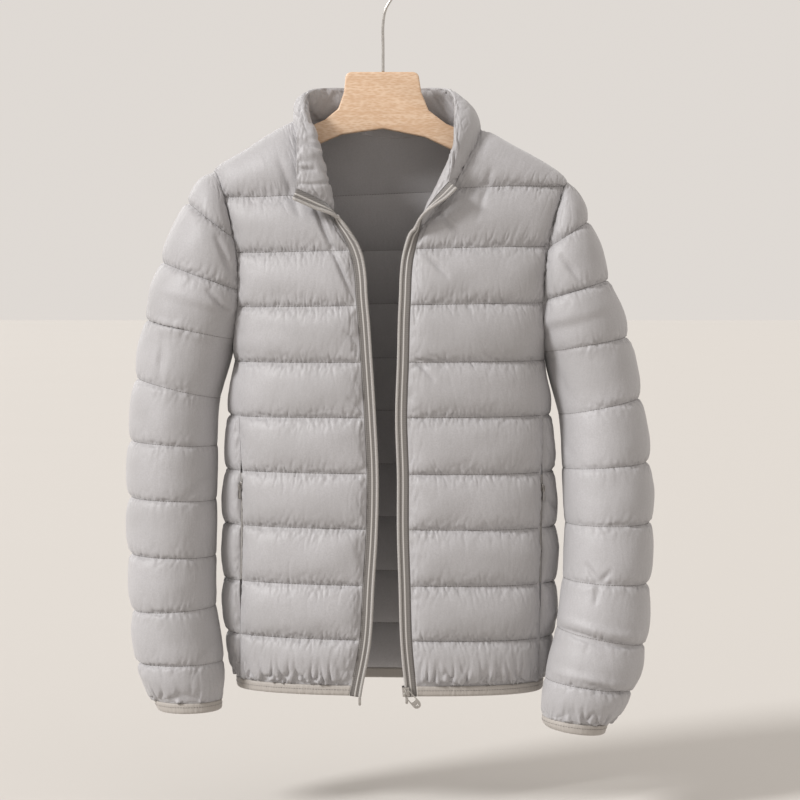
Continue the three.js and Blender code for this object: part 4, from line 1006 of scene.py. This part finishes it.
def quiltedCollar():
    shell = Shell()
    places = np.linspace(0, 10, collar["columns"])
    heights = np.linspace(0, 1, collar["rows"])
    heights = 0.5 * heights + 0.5 * (0.5 - 0.5 * np.cos(math.pi * heights))
    place, height = np.meshgrid(places, heights, indexing="ij")
    middle, normals = collarPoint(place, height), collarNormal(place, height)
    tuck = collar["tuck"] * np.clip(1 - height / collar["tuckTall"], 0, 1)
    middle = middle - unit(readRun(place, seamPlaces, seamWays)) * tuck[..., None]
    end = edgeFall(np.minimum(place, 10 - place) * collar["endLong"])
    loose = np.clip((collar["looseTo"] - place) / collar["looseRun"], 0, 1)
    rise = collar["loft"] * end * (1 + collar["looseLoft"] * loose)
    puff = jacket["wall"] / 2 + rise * baffle(np.clip(height, 0, 1 - sameRow))
    seam = np.minimum(length(middle - middle[:, :1]), length(middle - middle[:, -1:]))
    seam = np.minimum(seam, np.minimum(length(middle - middle[:1]), length(middle - middle[-1:])))
    facts = (sheetEdge(middle), rise, seam, 1 + collar["looseCrumple"] * loose)
    outer = shell.sheet(middle + normals * puff[..., None], facts)
    inner = shell.sheet(middle - normals * puff[..., None], facts)
    for k in (0, -1):
        shell.bridge(outer[k], heights, inner[k], heights)
        shell.bridge(outer[:, k], places, inner[:, k], places)
    padded.append((*shell.build("collar_quilt", finish["nylon"]), "collar"))


for side in sides:
    quiltedFronts(side)
    quiltedSleeve(side)
quiltedBack()
quiltedCollar()
print("cut", len(padded), "quilted pieces, points", sum(len(p[0].data.vertices) for p in padded))


# Numbers of every point or edge of a mesh, such as their places
def readAll(items, name, width, kind=float):
    values = np.empty(len(items) * width, kind)
    items.foreach_get(name, values)
    return values if width == 1 else values.reshape(-1, width)


# Down pushes the cloth out between the stitch lines, all pieces at once. The cloth is cut wider and longer
# than the finished panel, and a point may move by a share of its room for down, from least to most.
down = {"frames": 20, "wider": 1.1, "longer": 1.02, "jitter": 0.35, "least": 0.4, "share": 0.8, "most": 5.5}
downCloth = {
    "quality": 5, "mass": 0.1, "air_damping": 1, "tension_stiffness": 40, "compression_stiffness": 40,
    "shear_stiffness": 4, "bending_stiffness": 0.2, "tension_damping": 0.5, "compression_damping": 0.5,
    "shear_damping": 0.5, "use_pressure": True, "uniform_pressure_force": 100, "vertex_group_mass": "sewn",
}


def sewCloth(piece, facts, start):
    mesh = piece.data
    free = facts[:, 0] < 0.5
    stir = start + (random.random(start.shape) - 0.5) * down["jitter"] * mm * free[:, None]
    hung = piece.shape_key_add(name="hung")
    cut = piece.shape_key_add(name="cut")
    centre = start.mean(0)
    flat = centre + (stir - centre) * np.array([down["wider"], down["wider"], down["longer"]])
    cut.data.foreach_set("co", flat.ravel())
    mesh.vertices.foreach_set("co", stir.ravel())
    hung.data.foreach_set("co", stir.ravel())
    group = piece.vertex_groups.new(name="sewn")
    group.add([int(i) for i in np.where(~free)[0]], 1, "REPLACE")
    cloth = piece.modifiers.new("down", "CLOTH")
    for name, value in downCloth.items():
        setattr(cloth.settings, name, value)
    cloth.settings.rest_shape_key = cut
    cloth.settings.effector_weights.gravity = 0
    cloth.collision_settings.use_collision = False
    cloth.point_cache.frame_start = 1
    cloth.point_cache.frame_end = down["frames"]


def fillWithDown():
    scene = bpy.context.scene
    starts = [readAll(piece.data.vertices, "co", 3) for piece, _, _ in padded]
    for (piece, facts, _), start in zip(padded, starts):
        sewCloth(piece, facts, start)
    for step in range(1, down["frames"] + 1):
        scene.frame_set(step)
    graph = bpy.context.evaluated_depsgraph_get()
    for (piece, facts, _), start in zip(padded, starts):
        shaped = bpy.data.meshes.new_from_object(piece.evaluated_get(graph))
        move = readAll(shaped.vertices, "co", 3) - start
        size = length(move)
        print("  ", piece.name, "moved mean %.2f max %.2f mm" % (size.mean() / mm, size.max() / mm))
        most = np.minimum(down["least"] + facts[:, 1] * down["share"], down["most"]) * mm
        scale = np.where(size > most, most / np.maximum(size, 1e-9), 1)
        scale[facts[:, 0] > 0.5] = 0
        settled = start + move * scale[:, None]
        shaped.vertices.foreach_set("co", settled.ravel())
        piece.shape_key_clear()
        piece.modifiers.clear()
        piece.data = shaped
    scene.frame_set(1)


fillWithDown()
print("filled with down")

# Puckers that the stitching draws into the cloth, moved into the mesh after one subdivision. In millimetres:
# how wide, how deep and how far from the stitch line. Thin and sharp shape a valley, long is its length
# beside its width, begin is where puckers start and deepest holds the cloth off the lining.
pucker = {"wave": 2.8, "tall": 3.06, "reach": 5.5, "valley": 11, "valleyDeep": 2.5, "valleyReach": 11,
          "lean": 0.3, "lump": 42, "lumpTall": 1.5, "gather": 10.5, "gatherDeep": 3.9, "gatherThin": 3.6,
          "fold": 1.8, "long": 3.5, "thin": 5, "sharp": 1.4, "begin": 1.6, "deepest": 1.2}


# Main creases on the front, listed: from and to in X and Z, how wide and how deep.
# A negative depth is a lip that stands out.
creases = [
    [-206, -392, -180, -424, 4, 3], [-176, -470, -178, -492, 4, 3], [-262, -448, -266, -500, 7, 2.2],
    [-196, -330, -178, -372, 5, 2.6], [-214, -560, -186, -548, 5, 2.4], [-236, -640, -200, -610, 6, 2],
    [-220, -838, -196, -806, 5, 2.2], [-79, -292, -60, -342, 5, 3.8], [-60, -342, -28, -412, 4, 3.4],
    [-40, -376, -20, -396, 3.5, 2], [-44, -440, -19, -462, 3.5, 2], [-40, -520, -14, -540, 3.5, 1.8],
    [254, -737, 240, -716, 4, 2.8], [254, -737, 268, -722, 4, 2.4], [254, -737, 250, -758, 4, 2.4],
    [212, -792, 262, -808, 5, 3], [268, -806, 292, -812, 4, 2.4], [236, -850, 268, -862, 5, 2.2],
    [200, -470, 222, -520, 6, 2.6], [206, -560, 226, -590, 5, 2.2], [198, -640, 220, -668, 5, 2],
    [52, -350, 76, -374, 4, 2], [38, -470, 60, -496, 4, 1.8], [60, -290, 92, -330, 5, 2.2],
    [212, -352, 236, -382, 5, 2.2], [-122, -240, -100, -300, 6, 1.6], [128, -250, 112, -306, 6, 1.6],
    [-104, -213, -72, -224, 4, 2.2], [-104, -249, -80, -250, 3.5, 2], [-92, -168, -74, -206, 4.5, 2.2],
    [206, -781, 298, -801, 8, -2.6], [200, -841, 286, -857, 8, -2.4], [-286, -424, -232, -440, 8, -1.8],
]


def creaseDepth(points, normals):
    depth = np.zeros(len(points))
    flat = points[:, [0, 2]]
    for x0, z0, x1, z1, wide, deep in creases:
        start, way = np.array([x0, z0]), np.array([x1 - x0, z1 - z0])
        share = np.clip((flat - start) @ way / (way @ way), 0, 1)
        off = length(flat - start - share[:, None] * way)
        depth += deep * np.exp(-(off / wide) ** 2 * 2) * (1 - 0.6 * np.abs(2 * share - 1))
    return pucker["fold"] * depth * np.clip(-2 * normals[:, 1], 0, 1)


def noiseOf(points, across, along, seed, lean=0):
    scaled = points / np.array([across, across, along])
    scaled[:, 0] += lean * points[:, 2] / across + seed
    return np.array([noise.noise(p) for p in scaled])


# Valleys run where the noise passes through zero
def valleys(points, wide, long, seed, lean):
    away = np.abs(noiseOf(points, wide, long, seed, lean))
    return np.clip(1 - away * pucker["thin"], 0, 1) ** pucker["sharp"]


# One subdivision that keeps the stitch lines sharp and hands each point's facts on to the finer mesh
def finerCloth(piece, facts):
    mesh = piece.data
    names = ("room", "seam", "gather")
    for k, name in enumerate(names):
        values = mesh.attributes.new(name, "FLOAT", "POINT")
        values.data.foreach_set("value", facts[:, k + 1].astype(np.float32))
    ends = facts[readAll(mesh.edges, "vertices", 2, np.int32)]
    sewn = (ends[:, :, 0] > 0.5).all(1) & (ends[:, :, 3] > 0.5).all(1)
    sewn |= (ends[:, :, 2] == quilt["liningLine"]).all(1)
    crease = mesh.attributes.new("crease_edge", "FLOAT", "EDGE")
    crease.data.foreach_set("value", sewn.astype(np.float32))
    finer = piece.modifiers.new("finer", "SUBSURF")
    finer.levels = finer.render_levels = 1
    graph = bpy.context.evaluated_depsgraph_get()
    shaped = bpy.data.meshes.new_from_object(piece.evaluated_get(graph))
    piece.modifiers.clear()
    piece.data = shaped
    read = {}
    for name in names:
        read[name] = readAll(shaped.attributes[name].data, "value", 1, np.float32)
        shaped.attributes.remove(shaped.attributes[name])
    return shaped, read["room"], read["seam"], read["gather"]


def gatherCloth(piece, facts, node):
    shaped, room, seam, gather = finerCloth(piece, facts)
    points = readAll(shaped.vertices, "co", 3) / mm
    normals = readAll(shaped.vertex_normals, "vector", 3)
    wave, valley, long = pucker["wave"], pucker["valley"], pucker["long"]
    start = np.clip(seam / pucker["begin"], 0, 1)
    fine = noiseOf(points, wave, long * wave, 3) * np.exp(-seam / pucker["reach"])
    line = valleys(points, valley, long * valley, 40, pucker["lean"])
    other = valleys(points, valley * 0.8, 3 * valley, 90, -pucker["lean"])
    lump = noiseOf(points, pucker["lump"], pucker["lump"] * 0.7, 17)
    where = np.clip(0.5 + 1.6 * lump, 0, 1)
    fade = np.exp(-seam / pucker["valleyReach"])
    lift = start * pucker["tall"] * fine
    lift -= start * pucker["valleyDeep"] * fade * (line * where + other * (1 - where))
    lift += pucker["lumpTall"] * lump * np.clip(seam / 14, 0, 1)
    lift -= creaseDepth(points, normals) * start
    drawn = np.clip(gather - 1, 0, 1) * np.clip(seam / 3, 0, 1)
    across, upright = (5, 1.5) if node == "collar" else (1, 8)
    folds = np.abs(noiseOf(points, across * pucker["gather"], upright * pucker["gather"], 61))
    lift -= drawn * pucker["gatherDeep"] * (1 - np.clip(folds * pucker["gatherThin"], 0, 1))
    lift *= np.clip(gather, 0, 1.9) * np.clip(room / 4, 0, 1)
    lift = np.maximum(lift, -pucker["deepest"] - 0.5 * room * np.sqrt(np.clip(seam / 12, 0, 1)))
    shaped.vertices.foreach_set("co", ((points + normals * lift[:, None]) * mm).ravel())
    shaped.shade_smooth()
    crease = shaped.attributes.get("crease_edge")
    if crease:
        sewn = readAll(crease.data, "value", 1, np.float32) > 0.5
        shaped.attributes.remove(crease)
        sharp = shaped.attributes.get("sharp_edge") or shaped.attributes.new("sharp_edge", "BOOLEAN", "EDGE")
        sharp.data.foreach_set("value", sewn)


for piece, facts, node in padded:
    gatherCloth(piece, facts, node)
    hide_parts(node)
print("stitch lines drawn in")

# Sewing thread: one short stitch after another along each stitch line
stitch = {"long": 2.6, "pitch": 3.3, "wide": 0.55, "tall": 0.4, "above": 0.25}


def stitchTemplate():
    half, wide, tall = stitch["long"] / 2, stitch["wide"] / 2, stitch["tall"] / 2
    points = [(-half, 0, -tall)]
    for x in (-half * 0.6, half * 0.6):
        points += [(x, wide, 0), (x, 0, tall), (x, -wide, 0), (x, 0, -tall)]
    points.append((half, 0, -tall))
    faces = []
    for k in range(4):
        n = (k + 1) % 4
        faces += [[0, 1 + k, 1 + n], [1 + k, 5 + k, 5 + n, 1 + n], [9, 5 + n, 5 + k]]
    return np.array(points), faces


# Places spaced evenly along a line of points, with the way along it and the normal
def along(points, normals, pitch):
    run = runAlong(points)
    at = np.arange(pitch / 2, run[-1] - pitch / 2, pitch)
    way = unit(readRun(at + 0.8, run, points) - readRun(at - 0.8, run, points))
    return readRun(at, run, points), way, squareTo(way, unit(readRun(at, run, normals)))


def sewAlong(name, lines):
    template, faces = stitchTemplate()
    sewn = [along(points, normals, stitch["pitch"]) for points, normals in lines]
    places, ways, ups = [np.concatenate(part) for part in zip(*sewn)]
    places = places + ups * stitch["above"]
    points, every = scatter(template, faces, places, ways, np.cross(ups, ways), ups)
    piece = newPiece(name, points, every, finish["thread"])
    print("  ", name, len(places), "stitches")
    return piece


sewAlong("quilt_stitching", stitchLines)
print("quilting sewn")

# Front zip: woven tape, a narrow raised band on it, and the coil at its edge. Band, coil and seam are
# distances from the tape's free edge at the panel.
zipper = {"tapeWide": 13.4, "band": 6.4, "coil": 12, "tooth": 1.5, "seam": 1.7, "step": 2.5,
          "toothLean": 0.3, "corner": 3.2, "below": 0.12}


def fineRows(first, last):
    rows = [r + s for r in range(int(first), int(last) + 1) for s in (0, 0.18, 0.5, 0.82)]
    return np.array([first] + [r for r in rows if first + 0.05 < r < last - 0.05] + [last])


# Stations of one half, hem to collar corner: place and width way, which turns forward at the corner
def zipStations(side):
    rows = fineRows(neckRow[side] + zipper["below"], 11)[::-1]
    edge = angleAtX(side, edges(side, rows), rows)
    angle = frontAngle(side, edge)
    onBody = bodyPoint(angle, rows)
    points = onBody - bodyNormal(angle, rows) * jacket["wall"] / 2
    wide = unit(bodyPoint(frontAngle(side, edge + 0.03), rows) - onBody)
    heights = np.array([0.12, 0.3, 0.48, 0.66, 0.84, 1])
    end, beside = (0, 0.12) if side == "right" else (10, 9.88)
    atEnd = collarPoint(end, heights)
    points = np.concatenate([points, atEnd])
    wide = np.concatenate([wide, unit(atEnd - collarPoint(beside, heights))])
    flat = wide.copy()
    near = np.clip(1 - np.abs(np.arange(len(points)) - len(rows) + 0.5) / zipper["corner"], 0, 1)
    wide = unit(mix(wide, np.array([0, -1, 0]), near[:, None] * 0.8))
    for turn in range(3):
        wide[1:-1] = unit(wide[:-2] + 2 * wide[1:-1] + wide[2:])
    way = unit(np.concatenate([points[1:], points[-1:]]) - np.concatenate([points[:1], points[:-1]]))
    wide = squareTo(way, wide)
    clear = jacket["gap"] + 1.6 * (1 - np.clip(dot(wide, flat), 0, 1))
    return points + wide * clear[:, None], wide


# The same stations, close together along a smooth curve, with the thickness way
def zipCurve(side):
    points, wide = zipStations(side)
    run = runAlong(points)
    names = ["run", "x", "y", "z", "wideX", "wideY", "wideZ"]
    read = readTable(names, np.column_stack([run, points, wide]))
    at = np.linspace(0, run[-1], int(run[-1] / zipper["step"]) + 1)
    place = readPoint(read, ("x", "y", "z"), at)
    way = unit(np.gradient(place, axis=0))
    wide = squareTo(way, readPoint(read, ("wideX", "wideY", "wideZ"), at))
    return place, wide, unit(np.cross(way, wide)), float(run[-1])


# A rounded bar across the width, centred on a place of the section
def roundSection(middle, wide, thick, count=10):
    angles = np.arange(count) * 2 * math.pi / count
    return [(middle + wide * math.cos(a), thick * math.sin(a)) for a in angles]


# A short bar with flat ends, leaning about a place of its section
def toothOf(section, half, lean=0, middle=0):
    points = [(w, t, s * half + lean * (w - middle)) for s in (-1, 1) for w, t in section]
    count = len(section)
    faces = [list(range(count))[::-1], list(range(count, 2 * count))]
    faces += [[k, (k + 1) % count, (k + 1) % count + count, k + count] for k in range(count)]
    return np.array(points), faces


def frontZip(side):
    place, wide, thick, run = zipCurve(side)
    thick = thick * sideSign(side)
    edge = zipper["tapeWide"]
    section = [(0, 0.7), (2, 0.9), (5, 0.8), (9.8, 0.7), (edge, 0.5), (edge, -0.5), (9.8, -0.7), (0, -0.7)]
    hooked = [(10.3, 0.5), (10.7, 1.6), (11.7, 2.1), (12.9, 2.1), (13.9, 1.4), (14.1, 0), (13.9, -1.4),
              (12.6, -2), (10.7, -1.6)]
    tooth = toothOf(hooked, zipper["tooth"] * 0.32, zipper["toothLean"], zipper["coil"])
    teethAt = np.arange(zipper["tooth"], run - zipper["tooth"], zipper["tooth"])
    at = np.linspace(0, run, len(place))
    spots = [readRun(teethAt, at, values) for values in (place, wide, thick)]
    way = unit(np.cross(spots[1], spots[2]))
    parts = []
    for name, (points, faces), cloth in (
        (f"zip_tape_{side}_woven", sweep(section, place, wide, thick), "tape"),
        (f"zip_band_{side}", sweep(roundSection(zipper["band"], 1.3, 1.5), place, wide, thick), "coil"),
        (f"zip_core_{side}", sweep(roundSection(zipper["coil"], 1.7, 1.5), place, wide, thick), "coil"),
        (f"zip_teeth_{side}", scatter(*tooth, *spots, way), "coil"),
    ):
        parts.append(newPiece(name, points, faces, finish[cloth]))
    tape = parts.pop(0)
    line = place + wide * zipper["seam"] + thick * 0.85
    parts.append(sewAlong(f"zip_stitching_{side}", [(line, thick)]))
    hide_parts(f"zip_tape_{side}")
    print("  ", side, "zip tape %.0f mm long" % run)


for side in sides:
    frontZip(side)
print("front zip made")

# Elastic binding on the hem and the cuffs: a folded band, rippled by its own stretch. Fold and seam are
# shares of its height: the rounded fold at its lower edge, and the stitching below its upper edge.
binding = {"bulge": 0.8, "ripple": 0.45, "wave": 2.4, "step": 1.1, "rows": 11, "fold": 0.14, "seam": 0.16,
           "hemRun": 1050, "cuffRun": 210}


def boundEdge(name, node, surface, normalAt, run, closed):
    shell = Shell()
    rows = np.linspace(10, 11, binding["rows"])
    shares = np.linspace(0, 1, int(run / binding["step"]) + 1)
    share, row = np.meshgrid(shares, rows, indexing="ij")
    points, normals = surface(share, row), normalAt(share, row)
    onTop = np.isclose(row, 10)[..., None]
    points = np.where(onTop, towards(points, surface(share, row + 0.5), jacket["gap"] / 2), points)
    ripple = noiseOf(points.reshape(-1, 3), binding["wave"], 5 * binding["wave"], 5).reshape(share.shape)
    if closed:
        ripple = ripple * np.clip(np.minimum(share, 1 - share) * 30, 0, 1)
    turned = np.clip((row - 1 + binding["fold"] - 10) / binding["fold"], 0, 1)
    inset = jacket["wall"] / 2 * (1 - np.sqrt(1 - turned ** 2))
    lift = binding["bulge"] * (1 - (2 * row - 21) ** 2) + binding["ripple"] * ripple - inset

    def ring(ids):
        ids = ids.copy()
        ids[-1] = ids[0]
        return ids

    outside = points + normals * lift[..., None]
    inside = points + normals * (inset - jacket["wall"])[..., None]
    facts = (1, 0, quilt["far"], 1)
    outer, inner = [shell.sheet(sheet, facts, weld=ring if closed else None) for sheet in (outside, inside)]
    for end in (0, -1):
        shell.bridge(outer[:, end], shares, inner[:, end], shares)
        if not closed:
            shell.bridge(outer[end], rows, inner[end], rows)
    piece, _ = shell.build(name, finish["elastic"])
    j = int(round(binding["seam"] * (binding["rows"] - 1)))
    seam = sewAlong(name + "_stitching", [(outside[:, j], normals[:, j])])
    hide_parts(node)
    around = float(runAlong(points[:, len(rows) // 2])[-1])


def hemAngle(share, row):
    start = -math.pi + angleAtX("right", edges("right", row), row)
    end = -angleAtX("left", edges("left", row), row) - 2 * math.pi
    return mix(start, end, share)


boundEdge("hem_binding_elastic", "hem_binding", lambda s, r: bodyPoint(hemAngle(s, r), r),
          lambda s, r: bodyNormal(hemAngle(s, r), r), binding["hemRun"], False)
for side in sides:
    boundEdge(f"cuff_{side}_elastic", f"cuff_{side}", lambda s, r: sleevePoint(side, s, r),
              lambda s, r: sleeveNormal(side, s, r), binding["cuffRun"], True)
print("hem and cuffs bound")

# Pocket zips: a narrow strip of tape in the slot with a fine coil along its middle
pocketZip = {"half": 1.5, "tooth": 1.3, "toothHalf": 0.42, "first": 6.04, "last": 7.98}


def pocketCurve(side, rows):
    angle = frontAngle(side, angleAtX(side, pockets(side, rows), rows))
    normal = bodyNormal(angle, rows)
    down = bodyPoint(angle, rows + 0.05) - bodyPoint(angle, rows - 0.05)
    return bodyPoint(angle, rows), unit(np.cross(down, normal)), normal


def pocketCloser(side):
    place, wide, thick = pocketCurve(side, np.linspace(pocketZip["first"], pocketZip["last"], 60))
    half = pocketZip["half"]
    section = [(-half, 0), (-0.9, -0.5), (0.9, -0.5), (half, 0), (half, -2), (-half, -2)]
    tape = newPiece(f"pocket_zip_{side}_tape", *sweep(section, place, wide, thick), finish["tape"])
    tooth = toothOf([(-0.9, -0.5), (-0.5, 0.15), (0.5, 0.15), (0.9, -0.5)], pocketZip["toothHalf"])
    spots, ways, ups = along(place, thick, pocketZip["tooth"])
    teeth = newPiece(f"pocket_teeth_{side}", *scatter(*tooth, spots, np.cross(ways, ups), ups, ways),
                     finish["coil"])
    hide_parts(f"pocket_zip_{side}")


for side in sides:
    pocketCloser(side)
print("pocket zips made")


# Hard pieces: the node's own mesh with its edges rounded
def roundedCopy(node, material, body="jacket", edge=0.3, steps=2):
    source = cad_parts[node]
    mesh = source.data.copy()
    shape = bmesh.new()
    shape.from_mesh(mesh)
    bmesh.ops.remove_doubles(shape, verts=shape.verts, dist=1e-6)
    bmesh.ops.dissolve_limit(shape, angle_limit=math.radians(1), verts=shape.verts, edges=shape.edges)
    hard = [e for e in shape.edges if len(e.link_faces) == 2 and e.calc_face_angle() > math.radians(20)]
    bmesh.ops.bevel(shape, geom=hard, offset=edge * mm, segments=steps, profile=0.5, affect="EDGES",
                    clamp_overlap=True)
    bmesh.ops.recalc_face_normals(shape, faces=shape.faces)
    shape.to_mesh(mesh)
    shape.free()
    mesh.materials.clear()
    mesh.materials.append(material)
    mesh.shade_smooth()
    mesh.set_sharp_from_angle(angle=math.radians(40))
    piece = bpy.data.objects.new(node + "_finished", mesh)
    bpy.context.collection.objects.link(piece)
    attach(piece, body)
    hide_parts(node)
    return piece


roundedCopy("hanger_wood", finish["beech"], edge=2.2, steps=3)
roundedCopy("zip_slider", finish["zinc"], edge=0.45)
roundedCopy("zip_pull", finish["zinc"], "zip_pull", edge=0.4)
for side in sides:
    roundedCopy(f"zip_foot_{side}", finish["zinc"], edge=0.35)
    roundedCopy(f"pocket_slider_{side}", finish["zinc"], edge=0.3)
    roundedCopy(f"pocket_pull_{side}", finish["zinc"], f"pocket_pull_{side}", edge=0.3)

# Hook: one bent wire, round, with a rounded tip
hook = {"wire": 1.8, "inside": 18, "foot": -129.7, "stations": 150, "tip": 3}


def bentWire():
    radius = hook["inside"] + hook["wire"]
    knots = [(0, hook["foot"]), (0, -100), (0, -72), (3, -55), (14, -36)]
    for degrees in range(-20, 191, 30):
        a = math.radians(degrees)
        knots.append((radius * math.cos(a), radius * math.sin(a) - hook["inside"]))
    knots = np.array(knots, float)
    run = np.concatenate([[0], np.cumsum(np.sqrt(length(np.diff(knots, axis=0))))])
    read = readTable(["run", "x", "z"], np.column_stack([run, knots]))
    at = np.linspace(0, run[-1], hook["stations"])
    place = stack(read("x", at), 0 * at, read("z", at))
    way = unit(np.gradient(place, axis=0))
    left = np.arange(hook["stations"])[::-1]
    tip = np.sqrt(np.clip(left + 0.4, 0, hook["tip"]) / hook["tip"])[:, None]
    side = np.broadcast_to(np.array([0, 1.0, 0]), place.shape)
    circle = roundSection(0, hook["wire"], hook["wire"], 14)
    wireMesh = sweep(circle, place, side * tip, np.cross(way, side) * tip)
    piece = newPiece("hanger_hook_wire", *wireMesh, finish["wire"])
    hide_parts("hanger_hook")


bentWire()
print("hanger and metal finished")

# Studio: a pale floor under three far soft lamps, the strongest from the upper left of the photograph.
# Each lamp: strength, how wide it looks in degrees, and where its light comes from
studio = {"floor": "#c6c2bd", "floorZ": -1020, "reach": 30, "world": "#f6f0ea", "worldStrength": 0.8}
lamps = {
    "keyLamp": (2.8, 13, (-2500, -1600, 1900)),
    "fillLamp": (0.06, 40, (2400, -2000, 300)),
    "backLamp": (0.7, 40, (-1500, 2400, 1300)),
}


def makeFloor():
    mesh = bpy.data.meshes.new("studioFloor")
    reach, level = studio["reach"], studio["floorZ"] * mm
    corners = [(-reach, -reach, level), (reach, -reach, level), (reach, reach, level), (-reach, reach, level)]
    mesh.from_pydata(corners, [], [(0, 1, 2, 3)])
    floor = bpy.data.objects.new("studioFloor", mesh)
    bpy.context.collection.objects.link(floor)
    material, place = startMaterial("paintedFloor")
    cloudy = addNode(material, "TexNoise", {"Scale": 1.5, "Detail": 2}, {"Vector": place})
    rough = addNode(material, "MapRange", {"To Min": 0.75, "To Max": 0.9}, {"Value": cloudy})
    endMaterial(material, {"Base Color": toLinear(studio["floor"])}, {"Roughness": rough})
    mesh.materials.append(material)


def makeLamp(name, strength, wide, way):
    data = bpy.data.lights.new(name, "SUN")
    data.energy = strength
    data.angle = math.radians(wide)
    lamp = bpy.data.objects.new(name, data)
    lamp.location = Vector(way) * mm
    lamp.rotation_euler = (-lamp.location).to_track_quat("-Z", "Y").to_euler()
    bpy.context.collection.objects.link(lamp)


def makeWorld():
    world = bpy.data.worlds.new("studioRoom")
    bpy.context.scene.world = world
    world.use_nodes = True
    back = world.node_tree.nodes["Background"]
    back.inputs["Color"].default_value = toLinear(studio["world"])
    back.inputs["Strength"].default_value = studio["worldStrength"]


makeFloor()
for name, lamp in lamps.items():
    makeLamp(name, *lamp)
makeWorld()
bpy.context.scene.view_settings.view_transform = "Standard"
print("studio is lit")
